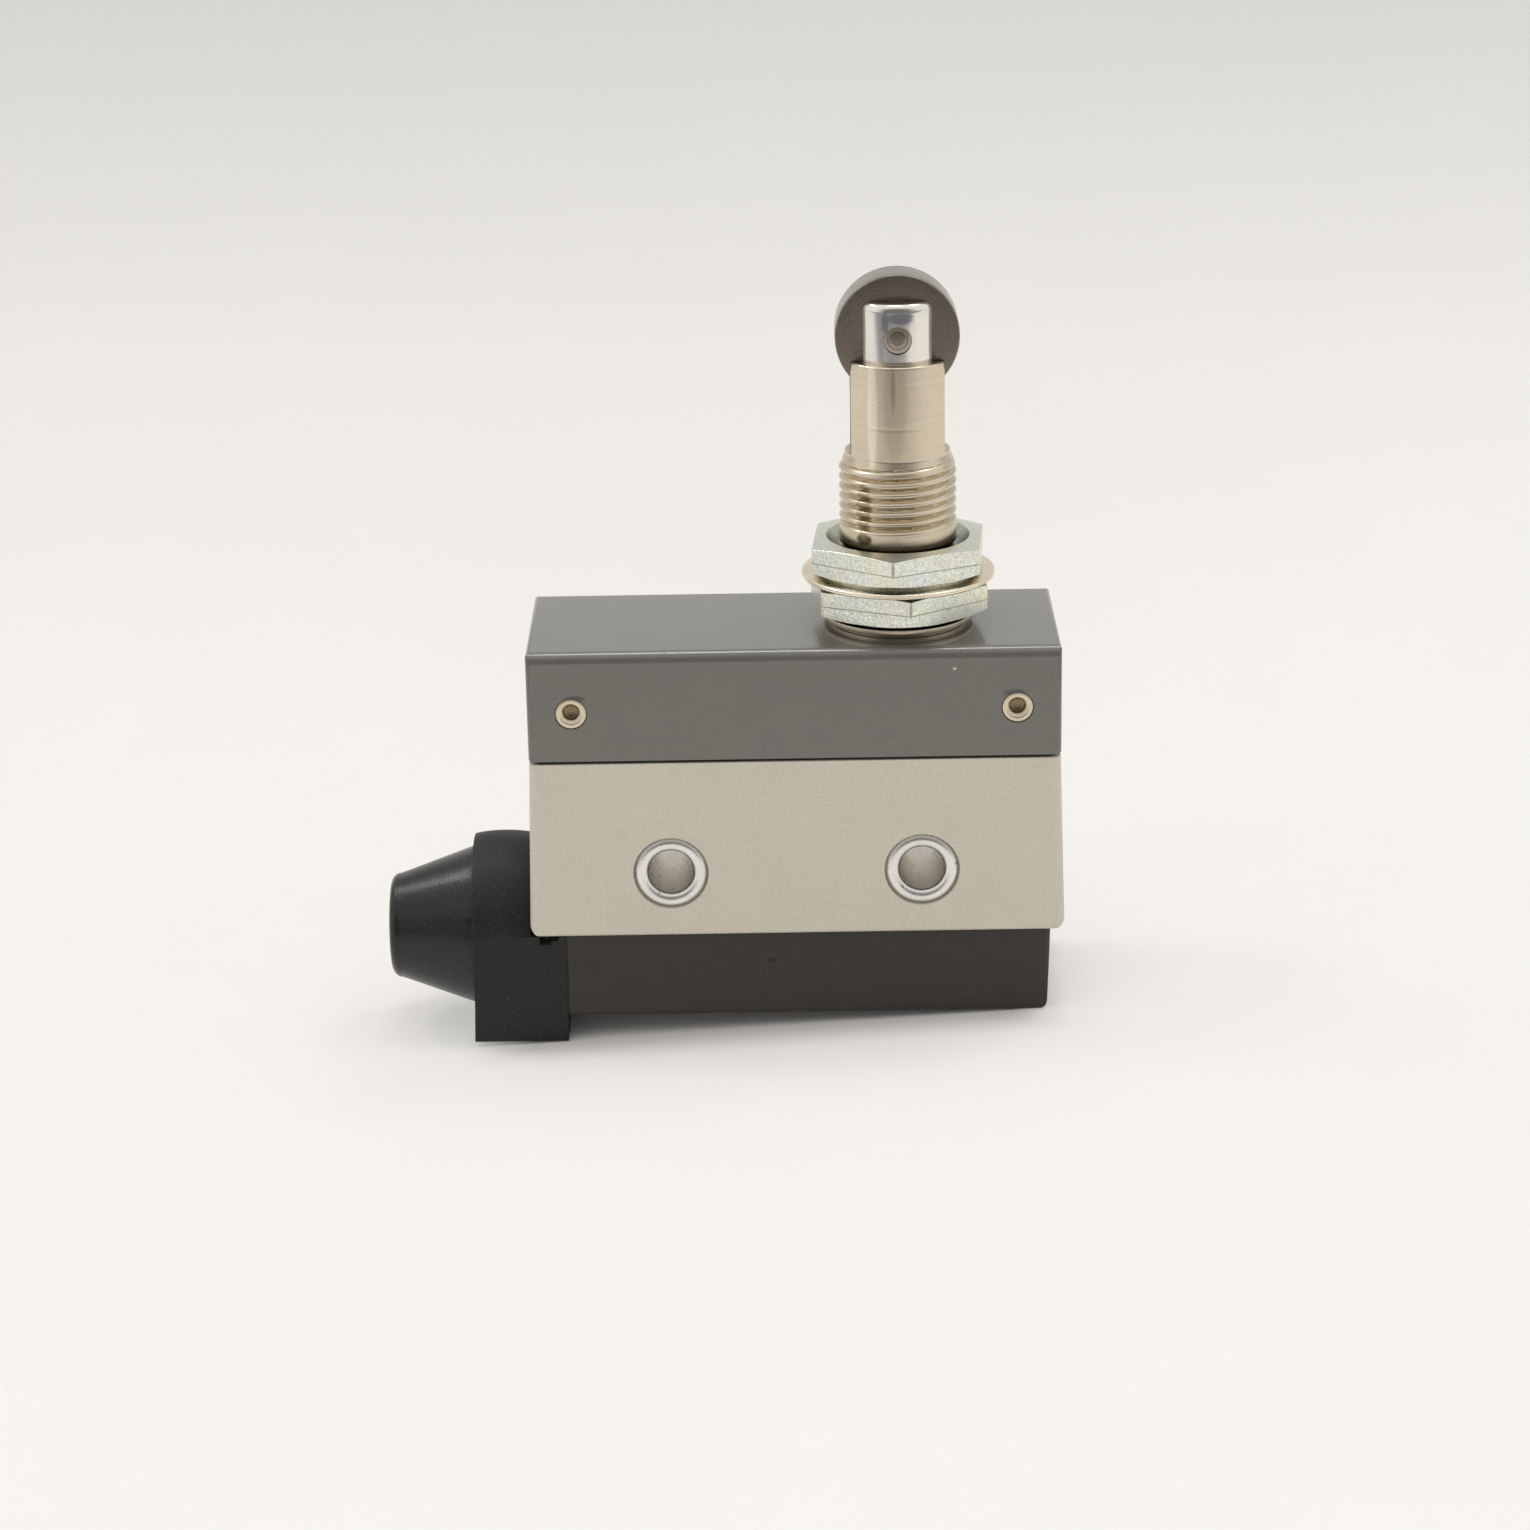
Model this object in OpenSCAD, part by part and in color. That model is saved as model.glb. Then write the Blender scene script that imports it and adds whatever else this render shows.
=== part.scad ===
// Roller plunger limit switch with a panel-mount barrel, a painted die-cast case and a rubber cable boot.
// Millimetres. Origin midway between the two mounting holes, at mid-thickness.
// +X runs away from the cable boot, -Y is the front face, +Z runs up the plunger.

/* [Housing] */
// Width of the housing and of the head cover
body_w = 53.4; // [51:0.1:58]
// Thickness of the housing, front to back
body_t = 21; // [20:0.1:24]
// Height of the housing
body_h = 18.55; // [17.8:0.05:21]
// From the mounting hole axis down to the housing's lower edge
body_drop = 6.75; // [6.2:0.05:7.4]
// Wall of the housing
body_wall = 1.8; // [1.5:0.1:2.1]
// Rounding of the housing's upright edges
body_edge_r = 1.1; // [0.6:0.1:1.6]
// Rounding of the housing's lower corners, seen from the front
body_corner_r = 1.3; // [0.6:0.1:2]
// Rounding along the housing's lower front and back edges
body_lower_r = 0.5; // [0.2:0.1:0.8]
// How far each end of the housing leans out from its upper to its lower edge
body_draft = 0.5; // [0:0.05:0.8]
// Length of the end pillars that carry the head cover
pillar_w = 4.7; // [4.2:0.1:5.4]
// Height of the end pillars inside the housing
pillar_h = 7; // [5:0.5:9]

/* [Mounting holes] */
// Distance between the two mounting holes
hole_pitch = 25.4; // [24:0.1:27]
// Radius of the mounting holes
hole_r = 2.3; // [2.1:0.05:2.5]
// Wall of the eyelets that line the mounting holes
eyelet_wall = 0.7; // [0.6:0.05:0.8]
// Radius of the rolled bead at each end of an eyelet
eyelet_bead_r = 0.6; // [0.5:0.05:0.7]
// Gap around the rolled bead, in its recess
eyelet_recess_gap = 0.3; // [0.2:0.05:0.5]
// How far the eyelet ends lie below the case's faces
eyelet_sink = 0.1; // [0.05:0.05:0.3]

/* [Head cover] */
// Height of the head cover
head_h = 11.3; // [10.6:0.1:13]
// Wall of the head cover
head_wall = 1.6; // [1.3:0.1:1.9]
// Rounding of the head cover's upper front and back edges
head_edge_r = 1.1; // [0.6:0.1:1.6]
// Rounding of the head cover's upright edges and of its corners, seen from the front
head_corner_r = 0.4; // [0.3:0.1:1.2]
// Thickness of the gasket under the head cover
gasket_t = 0.3; // [0.2:0.05:0.6]
// How far the gasket lies in from the case's faces
gasket_inset = 0.4; // [0.2:0.05:0.6]
// From the head cover's end to the axis of a cross rivet
rivet_inset = 4.4; // [4.2:0.1:4.8]
// From the head cover's lower edge up to the axis of a cross rivet
rivet_rise = 5.05; // [4.5:0.05:6]
// Radius of the rivet ends
rivet_head_r = 1.55; // [1.4:0.05:1.7]
// Depth of the rivet ends in the head cover's wall
rivet_head_t = 0.5; // [0.4:0.05:0.7]
// Radius of the rivet shanks
rivet_r = 1.1; // [0.9:0.05:1.2]
// Radius of the hollow in the rivet ends
rivet_hollow_r = 0.72; // [0.5:0.02:0.8]
// Radius of the flared mouth of that hollow
rivet_flare_r = 1.1; // [0.8:0.05:1.25]
// Depth of the flared mouth
rivet_flare_t = 0.25; // [0.1:0.05:0.35]
// Length of the lugs that the rivets pass through
lug_w = 4; // [3.6:0.1:4.2]

/* [Plunger barrel] */
// From the plunger's axis to the housing's right end
plunger_inset = 15.95; // [15.2:0.05:17]
// Radius of the barrel's flange
flange_r = 7.6; // [7.4:0.1:8.6]
// Thickness of the barrel's flange
flange_t = 1; // [0.8:0.1:1.5]
// Radius of the narrower foot under the flange
flange_foot_r = 6.9; // [6.4:0.1:7.2]
// Height of that foot
flange_foot_h = 0.5; // [0.2:0.05:0.6]
// Radius of the spigot through the head cover
spigot_r = 5.6; // [5.2:0.1:5.8]
// Radius of the staked collar under the head cover
stake_r = 6.4; // [6.2:0.1:7]
// Thickness of the staked collar
stake_t = 1.4; // [1.2:0.1:1.6]
// Outer radius of the thread
thread_r = 5.9; // [5.7:0.05:6.1]
// Length of the thread above the flange
thread_len = 15.2; // [14.5:0.1:18]
// Length of the taper from the thread to the sleeve
thread_runout = 1.4; // [0.8:0.1:2]
// Radius of the plain sleeve
sleeve_r = 5.25; // [5.1:0.05:5.5]
// Length of the plain sleeve
sleeve_len = 9.7; // [8.5:0.1:11]
// Width of the slot that the roller runs down
sleeve_slot_w = 4.8; // [4.75:0.05:5.2]
// Room under the roller when the plunger is fully down
slot_clear = 1.25; // [0.8:0.05:1.6]
// Thickness of the barrel's inner floor
barrel_floor_t = 1.7; // [1.3:0.1:2]

/* [Panel nuts] */
// Width of the nuts across their flats
nut_af = 16.8; // [16:0.1:18]
// Thickness of a nut
nut_t = 3.6; // [3.2:0.05:4]
// From the flange up to the lower nut
nut_gap = 0.25; // [0.2:0.05:2]
// Turn of the lower nut's front corner to the right
lower_nut_turn = 5.8; // [-30:0.2:30]
// Turn of the upper nut's front corner to the right
upper_nut_turn = -4.6; // [-30:0.2:30]
// Radius of a nut's flat end faces
nut_face_r = 7.4; // [7.2:0.05:7.8]
// How far a nut's lower face stands out below its hexagon
nut_relief = 0.35; // [0.2:0.05:0.5]
// Height of the chamfer round a nut's lower side
nut_chamfer = 0.45; // [0.3:0.05:0.8]
// Fall from a nut's upper face to its corners
nut_crown = 0.35; // [0.2:0.05:0.6]
// Countersink at the ends of a nut's thread
nut_sink = 1; // [0.5:0.05:1.1]
// Outer radius of the washer
washer_r = 9.78; // [9.2:0.02:10.4]
// Thickness of the washer
washer_t = 0.5; // [0.4:0.05:1]

/* [Plunger and roller] */
// Travel of the plunger
travel = 4.5; // [3:0.1:5]
// Radius of the plunger
plunger_r = 4.1; // [3.9:0.05:4.3]
// Rounding of the plunger's top edge
plunger_edge_r = 0.45; // [0.2:0.05:0.6]
// From the sleeve's rim up to the roller's axis
roller_rise = 2.45; // [2.1:0.05:3.6]
// From the roller's axis up to the plunger's top
ear_rise = 3.6; // [2.8:0.05:4]
// Radius of the roller
roller_r = 6.2; // [5.8:0.1:6.8]
// Thickness of the roller
roller_t = 4.4; // [4:0.05:4.45]
// Bevel round the roller's edges
roller_bevel = 0.12; // [0.06:0.02:0.5]
// Radius of the roller's pin
pin_r = 1; // [0.9:0.05:1.1]
// Radius of the pin's riveted ends
pin_head_r = 1.4; // [1.3:0.05:1.6]
// Depth of the pin's riveted ends
pin_head_t = 0.35; // [0.3:0.05:0.5]
// Radius of the dimple in the pin's ends
pin_dimple_r = 0.85; // [0.6:0.05:0.95]
// Length of the plunger below the roller slot in the barrel
seal_land = 2.7; // [2.4:0.1:3.4]
// Radius of the plunger's stem
stem_r = 2.5; // [2.4:0.05:2.7]
// Radius of the bore up the stem
stem_bore_r = 1.5; // [1.4:0.05:1.6]
// Depth of the bore up the stem
stem_bore_len = 12; // [11:0.5:14]
// Wire of the plunger's seal ring
o_ring_wire = 0.9; // [0.8:0.05:1]
// Thickness of the retaining ring
ring_t = 0.6; // [0.5:0.05:0.7]
// Outer radius of the retaining ring
ring_r = 4.4; // [4:0.1:4.8]
// Depth of the retaining ring's groove
ring_groove = 0.4; // [0.3:0.05:0.5]

/* [Springs] */
// Wire of the return spring
return_wire = 0.8; // [0.7:0.05:0.9]
// Turns of the return spring
return_turns = 8; // [7:1:9]
// Wire of the overtravel spring
over_wire = 0.4; // [0.35:0.05:0.45]
// Turns of the overtravel spring
over_turns = 8; // [6:1:9]
// Radius of the pusher's rod
rod_r = 1.3; // [1.2:0.05:1.35]
// Length of the pusher's rod inside the stem at rest
rod_engage = 4; // [3:0.1:5]
// Radius of the pusher's foot
foot_r = 3; // [2.4:0.1:4]
// Thickness of the pusher's foot
foot_t = 1; // [0.8:0.1:1.2]

/* [Terminal cover] */
// Height of the terminal cover
cover_h = 8.95; // [8.5:0.05:11]
// How far the cover lies in from the housing's front and back
cover_inset = 1.1; // [0.9:0.05:1.3]
// How far the cover's right end lies in from the housing's
cover_end_inset = 0.9; // [0.6:0.1:1.6]
// Lean of the cover's right end over its height
cover_draft = 0.35; // [0:0.05:0.5]
// Wall of the terminal cover
cover_wall = 1.5; // [1.2:0.1:1.6]
// Rounding of the cover's lower right corner
cover_corner_r = 1.2; // [0.8:0.1:1.4]
// Rounding along the cover's lower edges
cover_edge_r = 0.7; // [0.2:0.1:0.8]
// Thickness of the gasket on the terminal cover
cover_gasket_t = 0.3; // [0.2:0.05:0.5]
// Length of the snap rim along each side of the cover
snap_len = 34; // [20:1:36]

/* [Cable boot] */
// From the housing's left end to the boot's outer face
boot_w = 6.6; // [5.5:0.1:8]
// How far the boot reaches in under the housing
boot_reach = 3.05; // [2.6:0.05:3.6]
// How far the boot lies in from the housing's front and back
boot_inset = 1; // [0.8:0.05:1.2]
// From the housing's lower edge down to the cable's axis
cable_drop = 2.42; // [2.2:0.01:3]
// From the cable's axis down to the boot's lower face
boot_drop = 9.5; // [8.8:0.01:10]
// How far the boot's arched top rises past its half thickness
boot_arch = 0.25; // [0.1:0.05:0.6]
// Fall of that arch from its middle to its ends
boot_crown = 0.3; // [0.1:0.05:0.4]
// How deep the boot's outer face is dished
boot_dish = 0.2; // [0.1:0.05:0.3]
// Rounding of the boot's edges
boot_edge_r = 0.4; // [0.2:0.05:0.6]
// Length of the boot's cone
cone_len = 8.8; // [8:0.1:12]
// Radius of the cone at the boot
cone_base_r = 8.25; // [7.8:0.05:8.6]
// Radius of the cone at its tip
cone_tip_r = 5.44; // [4.8:0.02:6]
// Rounding of the cone's tip
cone_edge_r = 1; // [0.5:0.1:1.4]
// Radius of the cable bore
cable_r = 3; // [2.4:0.05:3.2]
// Length of the boot's neck inside the terminal cover
neck_len = 2; // [1.5:0.1:3]

/* [Contact block] */
// Travel of the switch pin
switch_travel = 1.2; // [0.8:0.05:1.3]
// Wall of the contact block round its chamber
base_wall = 1.3; // [1.1:0.05:1.5]
// Web between the eyelets and the chamber
base_web = 1.4; // [1.2:0.05:1.6]
// How far the contact block's lower face lies above the housing's lower edge
base_rise = 1.1; // [1:0.05:1.3]
// Thickness of the contact block's lid
lid_t = 1.3; // [1.1:0.05:1.4]
// Thickness of the terminal strips
strip_t = 0.6; // [0.5:0.05:0.7]
// Width of the terminal strips
tab_w = 5; // [4.6:0.1:5.2]
// Radius of the contacts
contact_r = 1.4; // [1.2:0.05:1.5]
// Height of the contacts
contact_h = 0.6; // [0.5:0.05:0.7]
// From the plunger's axis to the contacts
contact_offset = 4.55; // [4.4:0.05:4.9]
// Thickness of the contact blade
blade_t = 0.25; // [0.2:0.05:0.3]
// Width of the contact blade
blade_w = 5; // [4.6:0.1:5.4]
// Bow of the blade's snap tongue
tongue_bow = 1; // [0.7:0.05:1.1]
// Radius of the switch pin
switch_pin_r = 1.5; // [1.3:0.05:1.6]
// How far the switch pin stands above the lid
pin_rise = 2; // [1.8:0.05:2.2]
// Radius of the terminal screws
screw_r = 1.45; // [1.3:0.05:1.5]
// Radius of the terminal screws' heads
screw_head_r = 2.4; // [2.2:0.05:2.45]
// Height of the terminal screws' heads
screw_head_h = 1.8; // [1.5:0.1:2]
// Length of the terminal screws in the contact block
screw_len = 5; // [4:0.1:5.5]
// Thickness of the terminal washers
clamp_t = 0.7; // [0.5:0.05:0.9]

/* [Hidden] */
$fn = 96;

// Clearances
run_fit = 0.05;
slide_fit = 0.1;
loose_fit = 0.2;
contact_gap = 0.15;
stop_gap = 0.1;
roller_room = 0.5;
cut = 1;

// Heights of the case
body_bottom = -body_drop;
body_top = body_bottom + body_h;
head_bottom = body_top + gasket_t;
head_top = head_bottom + head_h;
ceiling_z = head_top - head_wall;
rivet_x = body_w / 2 - rivet_inset;
rivet_z = head_bottom + rivet_rise;
lug_rise = 2.4;
face_y = body_t / 2;
end_x = body_w / 2;

// Heights of the barrel, the nuts and the plunger
plunger_x = end_x - plunger_inset;
flange_top = head_top + flange_t;
lower_nut_z = flange_top + nut_gap;
washer_z = lower_nut_z + nut_t;
upper_nut_z = washer_z + washer_t;
thread_top = flange_top + thread_len;
sleeve_z = thread_top + thread_runout;
sleeve_top = sleeve_z + sleeve_len;
roller_z = sleeve_top + roller_rise;
ear_top = roller_z + ear_rise;
slot_bottom = roller_z - roller_r - travel - slot_clear;
shoulder_z = slot_bottom - seal_land;
barrel_bottom = ceiling_z - stake_t;
barrel_floor = barrel_bottom + barrel_floor_t;
bore_r = plunger_r + run_fit;
roller_slot_w = roller_t + loose_fit;
roller_slot_z = roller_z - roller_r - roller_room;
nut_bore_r = thread_r + run_fit;
stem_tip = 0.6;
ring_z = barrel_bottom - stop_gap - ring_t;
stem_end = ring_z - stem_tip;
stem_bore_top = stem_end + stem_bore_len;
rod_top = stem_end + rod_engage;
o_ring_groove_r = plunger_r - o_ring_wire;
o_ring_groove_w = o_ring_wire + slide_fit;
o_ring_z = shoulder_z + seal_land / 2;

// Contact block
eyelet_r = hole_r + eyelet_wall;
eyelet_rim_r = hole_r + 2 * eyelet_bead_r;
eyelet_recess_r = eyelet_rim_r + eyelet_recess_gap;
base_hole_r = eyelet_r + slide_fit;
base_x = end_x - body_wall - pillar_w - loose_fit;
base_y = face_y - body_wall - loose_fit;
base_bottom = body_bottom + base_rise;
floor_z = base_hole_r + base_web;
chamber_x = base_x - base_wall;
chamber_y = base_y - base_wall;
contact_x = plunger_x + contact_offset;
post_inset = 2;
pivot_x = -(chamber_x - post_inset);
contact_travel = switch_travel * (contact_x - pivot_x) / (plunger_x - pivot_x);
no_face_z = floor_z + strip_t + contact_h;
blade_z = no_face_z + contact_gap + contact_travel + contact_h;
nc_face_z = blade_z + blade_t + contact_h + contact_gap;
nc_strip_z = nc_face_z + contact_h;
lid_z = nc_strip_z + strip_t + loose_fit;
lid_top = lid_z + lid_t;
foot_z = lid_top + pin_rise;
riser_y = chamber_y - slide_fit;
riser_web = 0.6;
term_pitch = hole_pitch / 2 - base_hole_r - riser_web - tab_w / 2;
barrier_w = (term_pitch - tab_w) / 2;
strip_half_y = 3;
rivet_shank_r = 0.8;
blade_tail_w = 2;
blade_tail_len = 1.2;
pin_land = 2;
window_margin = 5;
window_x0 = pivot_x + window_margin;
window_x1 = plunger_x - switch_pin_r - pin_land;
window_w = 3;
tongue_w = 2.2;
tongue_root = 0.6;
tongue_x0 = window_x0 + window_margin;
plate_margin = 0.4;
plate_x0 = contact_x - contact_r - plate_margin;
plate_x1 = contact_x + contact_r + plate_margin;
anchor_gap = 0.3;
snap_rise = 1.1;
snap_t = 0.7;
snap_bead = 0.25;
snap_bead_h = 0.4;

// Terminal cover and cable boot
cover_top = body_bottom - cover_gasket_t;
cover_bottom = cover_top - cover_h;
cover_y = face_y - cover_inset;
cover_x0 = -end_x + boot_reach;
cover_x1 = end_x - cover_end_inset;
boot_x0 = -end_x - boot_w;
boot_y = face_y - boot_inset;
cable_z = body_bottom - cable_drop;
boot_bottom = cable_z - boot_drop;
boot_gap = 0.3;
boot_pocket_x = -end_x - body_draft - run_fit;
boot_face_t = 1.5;
cover_gasket_band = 0.5;
duct_x0 = boot_x0 + boot_face_t;
duct_wall = 1.3;

// A box between two corners
module block(low, high) {
  translate(low)
    cube(high - low);
}

// A rectangle with round corners, centred
module rounded_rect(size, r) {
  square([size[0] - 2 * r, size[1]], center = true);
  square([size[0], size[1] - 2 * r], center = true);
  for (sx = [-1, 1])
    for (sy = [-1, 1])
      translate([sx * (size[0] / 2 - r), sy * (size[1] / 2 - r)])
        circle(r);
}

// An outline in X and Z, carried through the depth
module through_depth(depth) {
  rotate([90, 0, 0])
    linear_extrude(depth, center = true)
      children();
}

// An outline in Y and Z, carried along the width
module along_width(x0, x1) {
  translate([x0, 0, 0])
    rotate([90, 0, 90])
      linear_extrude(x1 - x0)
        children();
}

// A box rounded on its upright edges, in front view and in end view; only the rounded end is kept
module soft_box(x0, x1, half_y, z0, z1, plan_r, front_r, end_r, round_top) {
  spare = 2 * max(front_r, end_r) + cut;
  low = round_top ? z0 - spare : z0;
  high = round_top ? z1 : z1 + spare;
  middle_x = (x0 + x1) / 2;
  middle_z = (low + high) / 2;
  intersection() {
    translate([middle_x, 0, z0])
      linear_extrude(z1 - z0)
        rounded_rect([x1 - x0, 2 * half_y], plan_r);
    translate([middle_x, 0, middle_z])
      through_depth(2 * half_y + cut)
        rounded_rect([x1 - x0, high - low], front_r);
    translate([0, 0, middle_z])
      along_width(x0 - cut, x1 + cut)
        rounded_rect([2 * half_y, high - low], end_r);
  }
}

// A solid turned about the depth axis, drawn in radius and depth
module turned_in_depth(x, z) {
  translate([x, 0, z])
    rotate([-90, 0, 0])
      rotate_extrude()
        children();
}

// A pin or bore through the depth
module cross_pin(x, z, r, length) {
  translate([x, 0, z])
    rotate([90, 0, 0])
      cylinder(h = length, r = r, center = true);
}

// Pitch of a spring's closed end coils, in wires
coil_pack = 1.2;

// One point of a coil's wire
function coil_z(turn, turns, length, wire) =
  let (dead = coil_pack * wire, open = (length - wire - 2 * dead) / (turns - 2))
  wire / 2 + (turn < 1 ? turn * dead
    : turn > turns - 1 ? length - wire - (turns - turn) * dead
    : dead + (turn - 1) * open);

function coil_point(turn, side, sides, r, z, wire) =
  let (a = 360 * turn, b = 360 * side / sides, out = r + wire / 2 * cos(b))
  [out * cos(a), out * sin(a), z + wire / 2 * sin(b)];

// A compression spring with a closed coil at each end, standing on Z = 0
module coil_spring(r, wire, turns, length, steps, sides) {
  rings = turns * steps;
  points = [
    for (i = [0:rings])
      for (k = [0:sides - 1])
        coil_point(i / steps, k, sides, r, coil_z(i / steps, turns, length, wire), wire)
  ];
  walls = [
    for (i = [0:rings - 1])
      for (k = [0:sides - 1])
        let (n = (k + 1) % sides)
        [i * sides + k, i * sides + n, (i + 1) * sides + n, (i + 1) * sides + k]
  ];
  first_end = [for (k = [0:sides - 1]) sides - 1 - k];
  last_end = [for (k = [0:sides - 1]) rings * sides + k];
  polyhedron(points, concat(walls, [first_end, last_end]));
}

// A tall prism with round upright edges whose one end leans out below the housing's upper edge
module leaning_prism(side) {
  length = body_w + 4 * cut;
  lean = atan(body_draft / body_h);
  translate([side * end_x, 0, body_top])
    rotate([0, -side * lean, 0])
      translate([-side * length / 2, 0, -body_h - 3 * cut])
        linear_extrude(body_h + 6 * cut)
          rounded_rect([length, body_t], body_edge_r);
}

// Outside of the housing: leaning ends, round lower corners and round lower edges
module body_outside() {
  low_end_x = end_x + body_draft;
  middle_z = body_top + cut - body_h / 2;
  high = body_h + 2 * cut;
  intersection() {
    leaning_prism(-1);
    leaning_prism(1);
    translate([0, 0, middle_z])
      through_depth(body_t + cut)
        rounded_rect([2 * low_end_x, high], body_corner_r);
    translate([0, 0, middle_z])
      along_width(-low_end_x - cut, low_end_x + cut)
        rounded_rect([body_t, high], body_lower_r);
    translate([0, 0, body_bottom])
      linear_extrude(body_h)
        square([2 * (low_end_x + cut), body_t + cut], center = true);
  }
}

// Die-cast housing, open above and below, with end pillars and lugs for the head cover
module body_housing() {
  inner_x = end_x - body_wall;
  inner_y = face_y - body_wall;
  lug_y = face_y - head_wall - slide_fit;
  color([0.77, 0.74, 0.67])
    difference() {
      union() {
        difference() {
          body_outside();
          block([-inner_x, -inner_y, body_bottom - cut], [inner_x, inner_y, body_top + cut]);
        }
        for (side = [-1, 1])
          translate([side * (inner_x - pillar_w / 2), 0, body_top - pillar_h / 2])
            cube([pillar_w, 2 * inner_y, pillar_h], center = true);
        for (side = [-1, 1])
          translate([side * rivet_x, 0, 0])
            block([-lug_w / 2, -lug_y, body_top - cut], [lug_w / 2, lug_y, rivet_z + lug_rise]);
      }
      for (side = [-1, 1]) {
        cross_pin(side * hole_pitch / 2, 0, eyelet_r + run_fit, body_t + cut);
        for (face = [-1, 1])
          translate([side * hole_pitch / 2, face * face_y, 0])
            rotate([90, 0, 0])
              cylinder(h = 2 * (eyelet_sink + eyelet_bead_r), r = eyelet_recess_r, center = true);
        cross_pin(side * rivet_x, rivet_z, rivet_r + run_fit, body_t + cut);
        translate([0, side * inner_y, body_bottom + snap_rise / 2])
          cube([snap_len + loose_fit, 2 * (snap_bead + slide_fit), snap_bead_h + loose_fit], center = true);
      }
    }
}

// Die-cast head cover, a shell open below
module head_cover() {
  color([0.41, 0.40, 0.37])
    difference() {
      intersection() {
        soft_box(-end_x, end_x, face_y, head_bottom, head_top,
          head_corner_r, head_corner_r, head_edge_r, true);
        translate([0, 0, head_bottom + head_h])
          through_depth(body_t + cut)
            rounded_rect([body_w, 2 * head_h], head_corner_r);
      }
      block(
        [-end_x + head_wall, -face_y + head_wall, head_bottom - cut],
        [end_x - head_wall, face_y - head_wall, ceiling_z]
      );
      translate([plunger_x, 0, ceiling_z - cut])
        cylinder(h = head_wall + 2 * cut, r = spigot_r + run_fit);
      for (side = [-1, 1]) {
        cross_pin(side * rivet_x, rivet_z, rivet_r + run_fit, body_t + cut);
        for (face = [-1, 1])
          translate([side * rivet_x, face * face_y, rivet_z])
            rotate([90, 0, 0])
              cylinder(h = 2 * rivet_head_t, r = rivet_head_r + run_fit, center = true);
      }
    }
}

// Flat gasket between the housing and the head cover
module head_gasket() {
  color([0.10, 0.10, 0.10])
    translate([0, 0, body_top])
      linear_extrude(gasket_t)
        difference() {
          rounded_rect([body_w - 2 * gasket_inset, body_t - 2 * gasket_inset], body_edge_r);
          square([body_w - 2 * head_wall, body_t - 2 * head_wall], center = true);
        }
}

// Cross rivets with flared hollow ends
module head_rivets() {
  rivet_end = face_y - run_fit;
  head_t = rivet_head_t - run_fit;
  hollow_z = rivet_end - 2 * head_t;
  color([0.72, 0.66, 0.50])
    for (side = [-1, 1])
      turned_in_depth(side * rivet_x, rivet_z)
        difference() {
          union() {
            translate([0, -rivet_end])
              square([rivet_r, 2 * rivet_end]);
            for (head_y = [-rivet_end, rivet_end - head_t])
              translate([0, head_y])
                square([rivet_head_r, head_t]);
          }
          for (face = [0, 1])
            mirror([0, face])
              polygon([
                [0, hollow_z],
                [rivet_hollow_r, hollow_z],
                [rivet_hollow_r, rivet_end - rivet_flare_t],
                [rivet_flare_r, rivet_end],
                [rivet_flare_r, rivet_end + cut],
                [0, rivet_end + cut]
              ]);
        }
}

// Moulded terminal cover, open above and towards the boot, with a snap rim
module terminal_cover() {
  corner_x = cover_x1 - cover_draft * (1 - cover_corner_r / cover_h);
  corner_z = cover_bottom + cover_corner_r;
  front = [
    [cover_x0, cover_top],
    [cover_x0, cover_bottom],
    [corner_x - cover_corner_r, cover_bottom],
    [corner_x, corner_z],
    [cover_x1, cover_top]
  ];
  rim_y = face_y - body_wall - slide_fit;
  color([0.22, 0.21, 0.20])
    difference() {
      union() {
        intersection() {
          through_depth(2 * cover_y) {
            polygon(front);
            translate([corner_x - cover_corner_r, corner_z])
              circle(cover_corner_r);
          }
          soft_box(cover_x0 - 3 * cut, cover_x1, cover_y, cover_bottom, cover_top,
            cover_edge_r, cover_edge_r, cover_edge_r, false);
        }
        for (side = [-1, 1])
          translate([0, side * (rim_y - snap_t / 2), (cover_top + body_bottom + snap_rise) / 2])
            cube([snap_len, snap_t, snap_rise + cover_gasket_t], center = true);
        for (side = [-1, 1])
          translate([0, side * rim_y, body_bottom + snap_rise / 2])
            cube([snap_len, 2 * snap_bead, snap_bead_h], center = true);
      }
      block(
        [cover_x0 - cut, -cover_y + cover_wall, cover_bottom + cover_wall],
        [cover_x1 - cover_draft - cover_wall, cover_y - cover_wall, cover_top + cut]
      );
      block(
        [-snap_len / 2 - cut, -rim_y + snap_t, cover_top - cut],
        [snap_len / 2 + cut, rim_y - snap_t, body_bottom + snap_rise + cut]
      );
    }
}

// Gasket between the terminal cover and the housing, open towards the boot
module cover_gasket() {
  outer_y = cover_y - loose_fit;
  outer_x = cover_x1 - loose_fit;
  color([0.10, 0.10, 0.10])
    translate([0, 0, cover_top])
      linear_extrude(cover_gasket_t)
        difference() {
          translate([cover_x0, -outer_y])
            square([outer_x - cover_x0, 2 * outer_y]);
          translate([cover_x0 - cut, -outer_y + cover_gasket_band])
            square([outer_x - cover_x0 - cover_gasket_band + cut, 2 * (outer_y - cover_gasket_band)]);
        }
}

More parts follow.
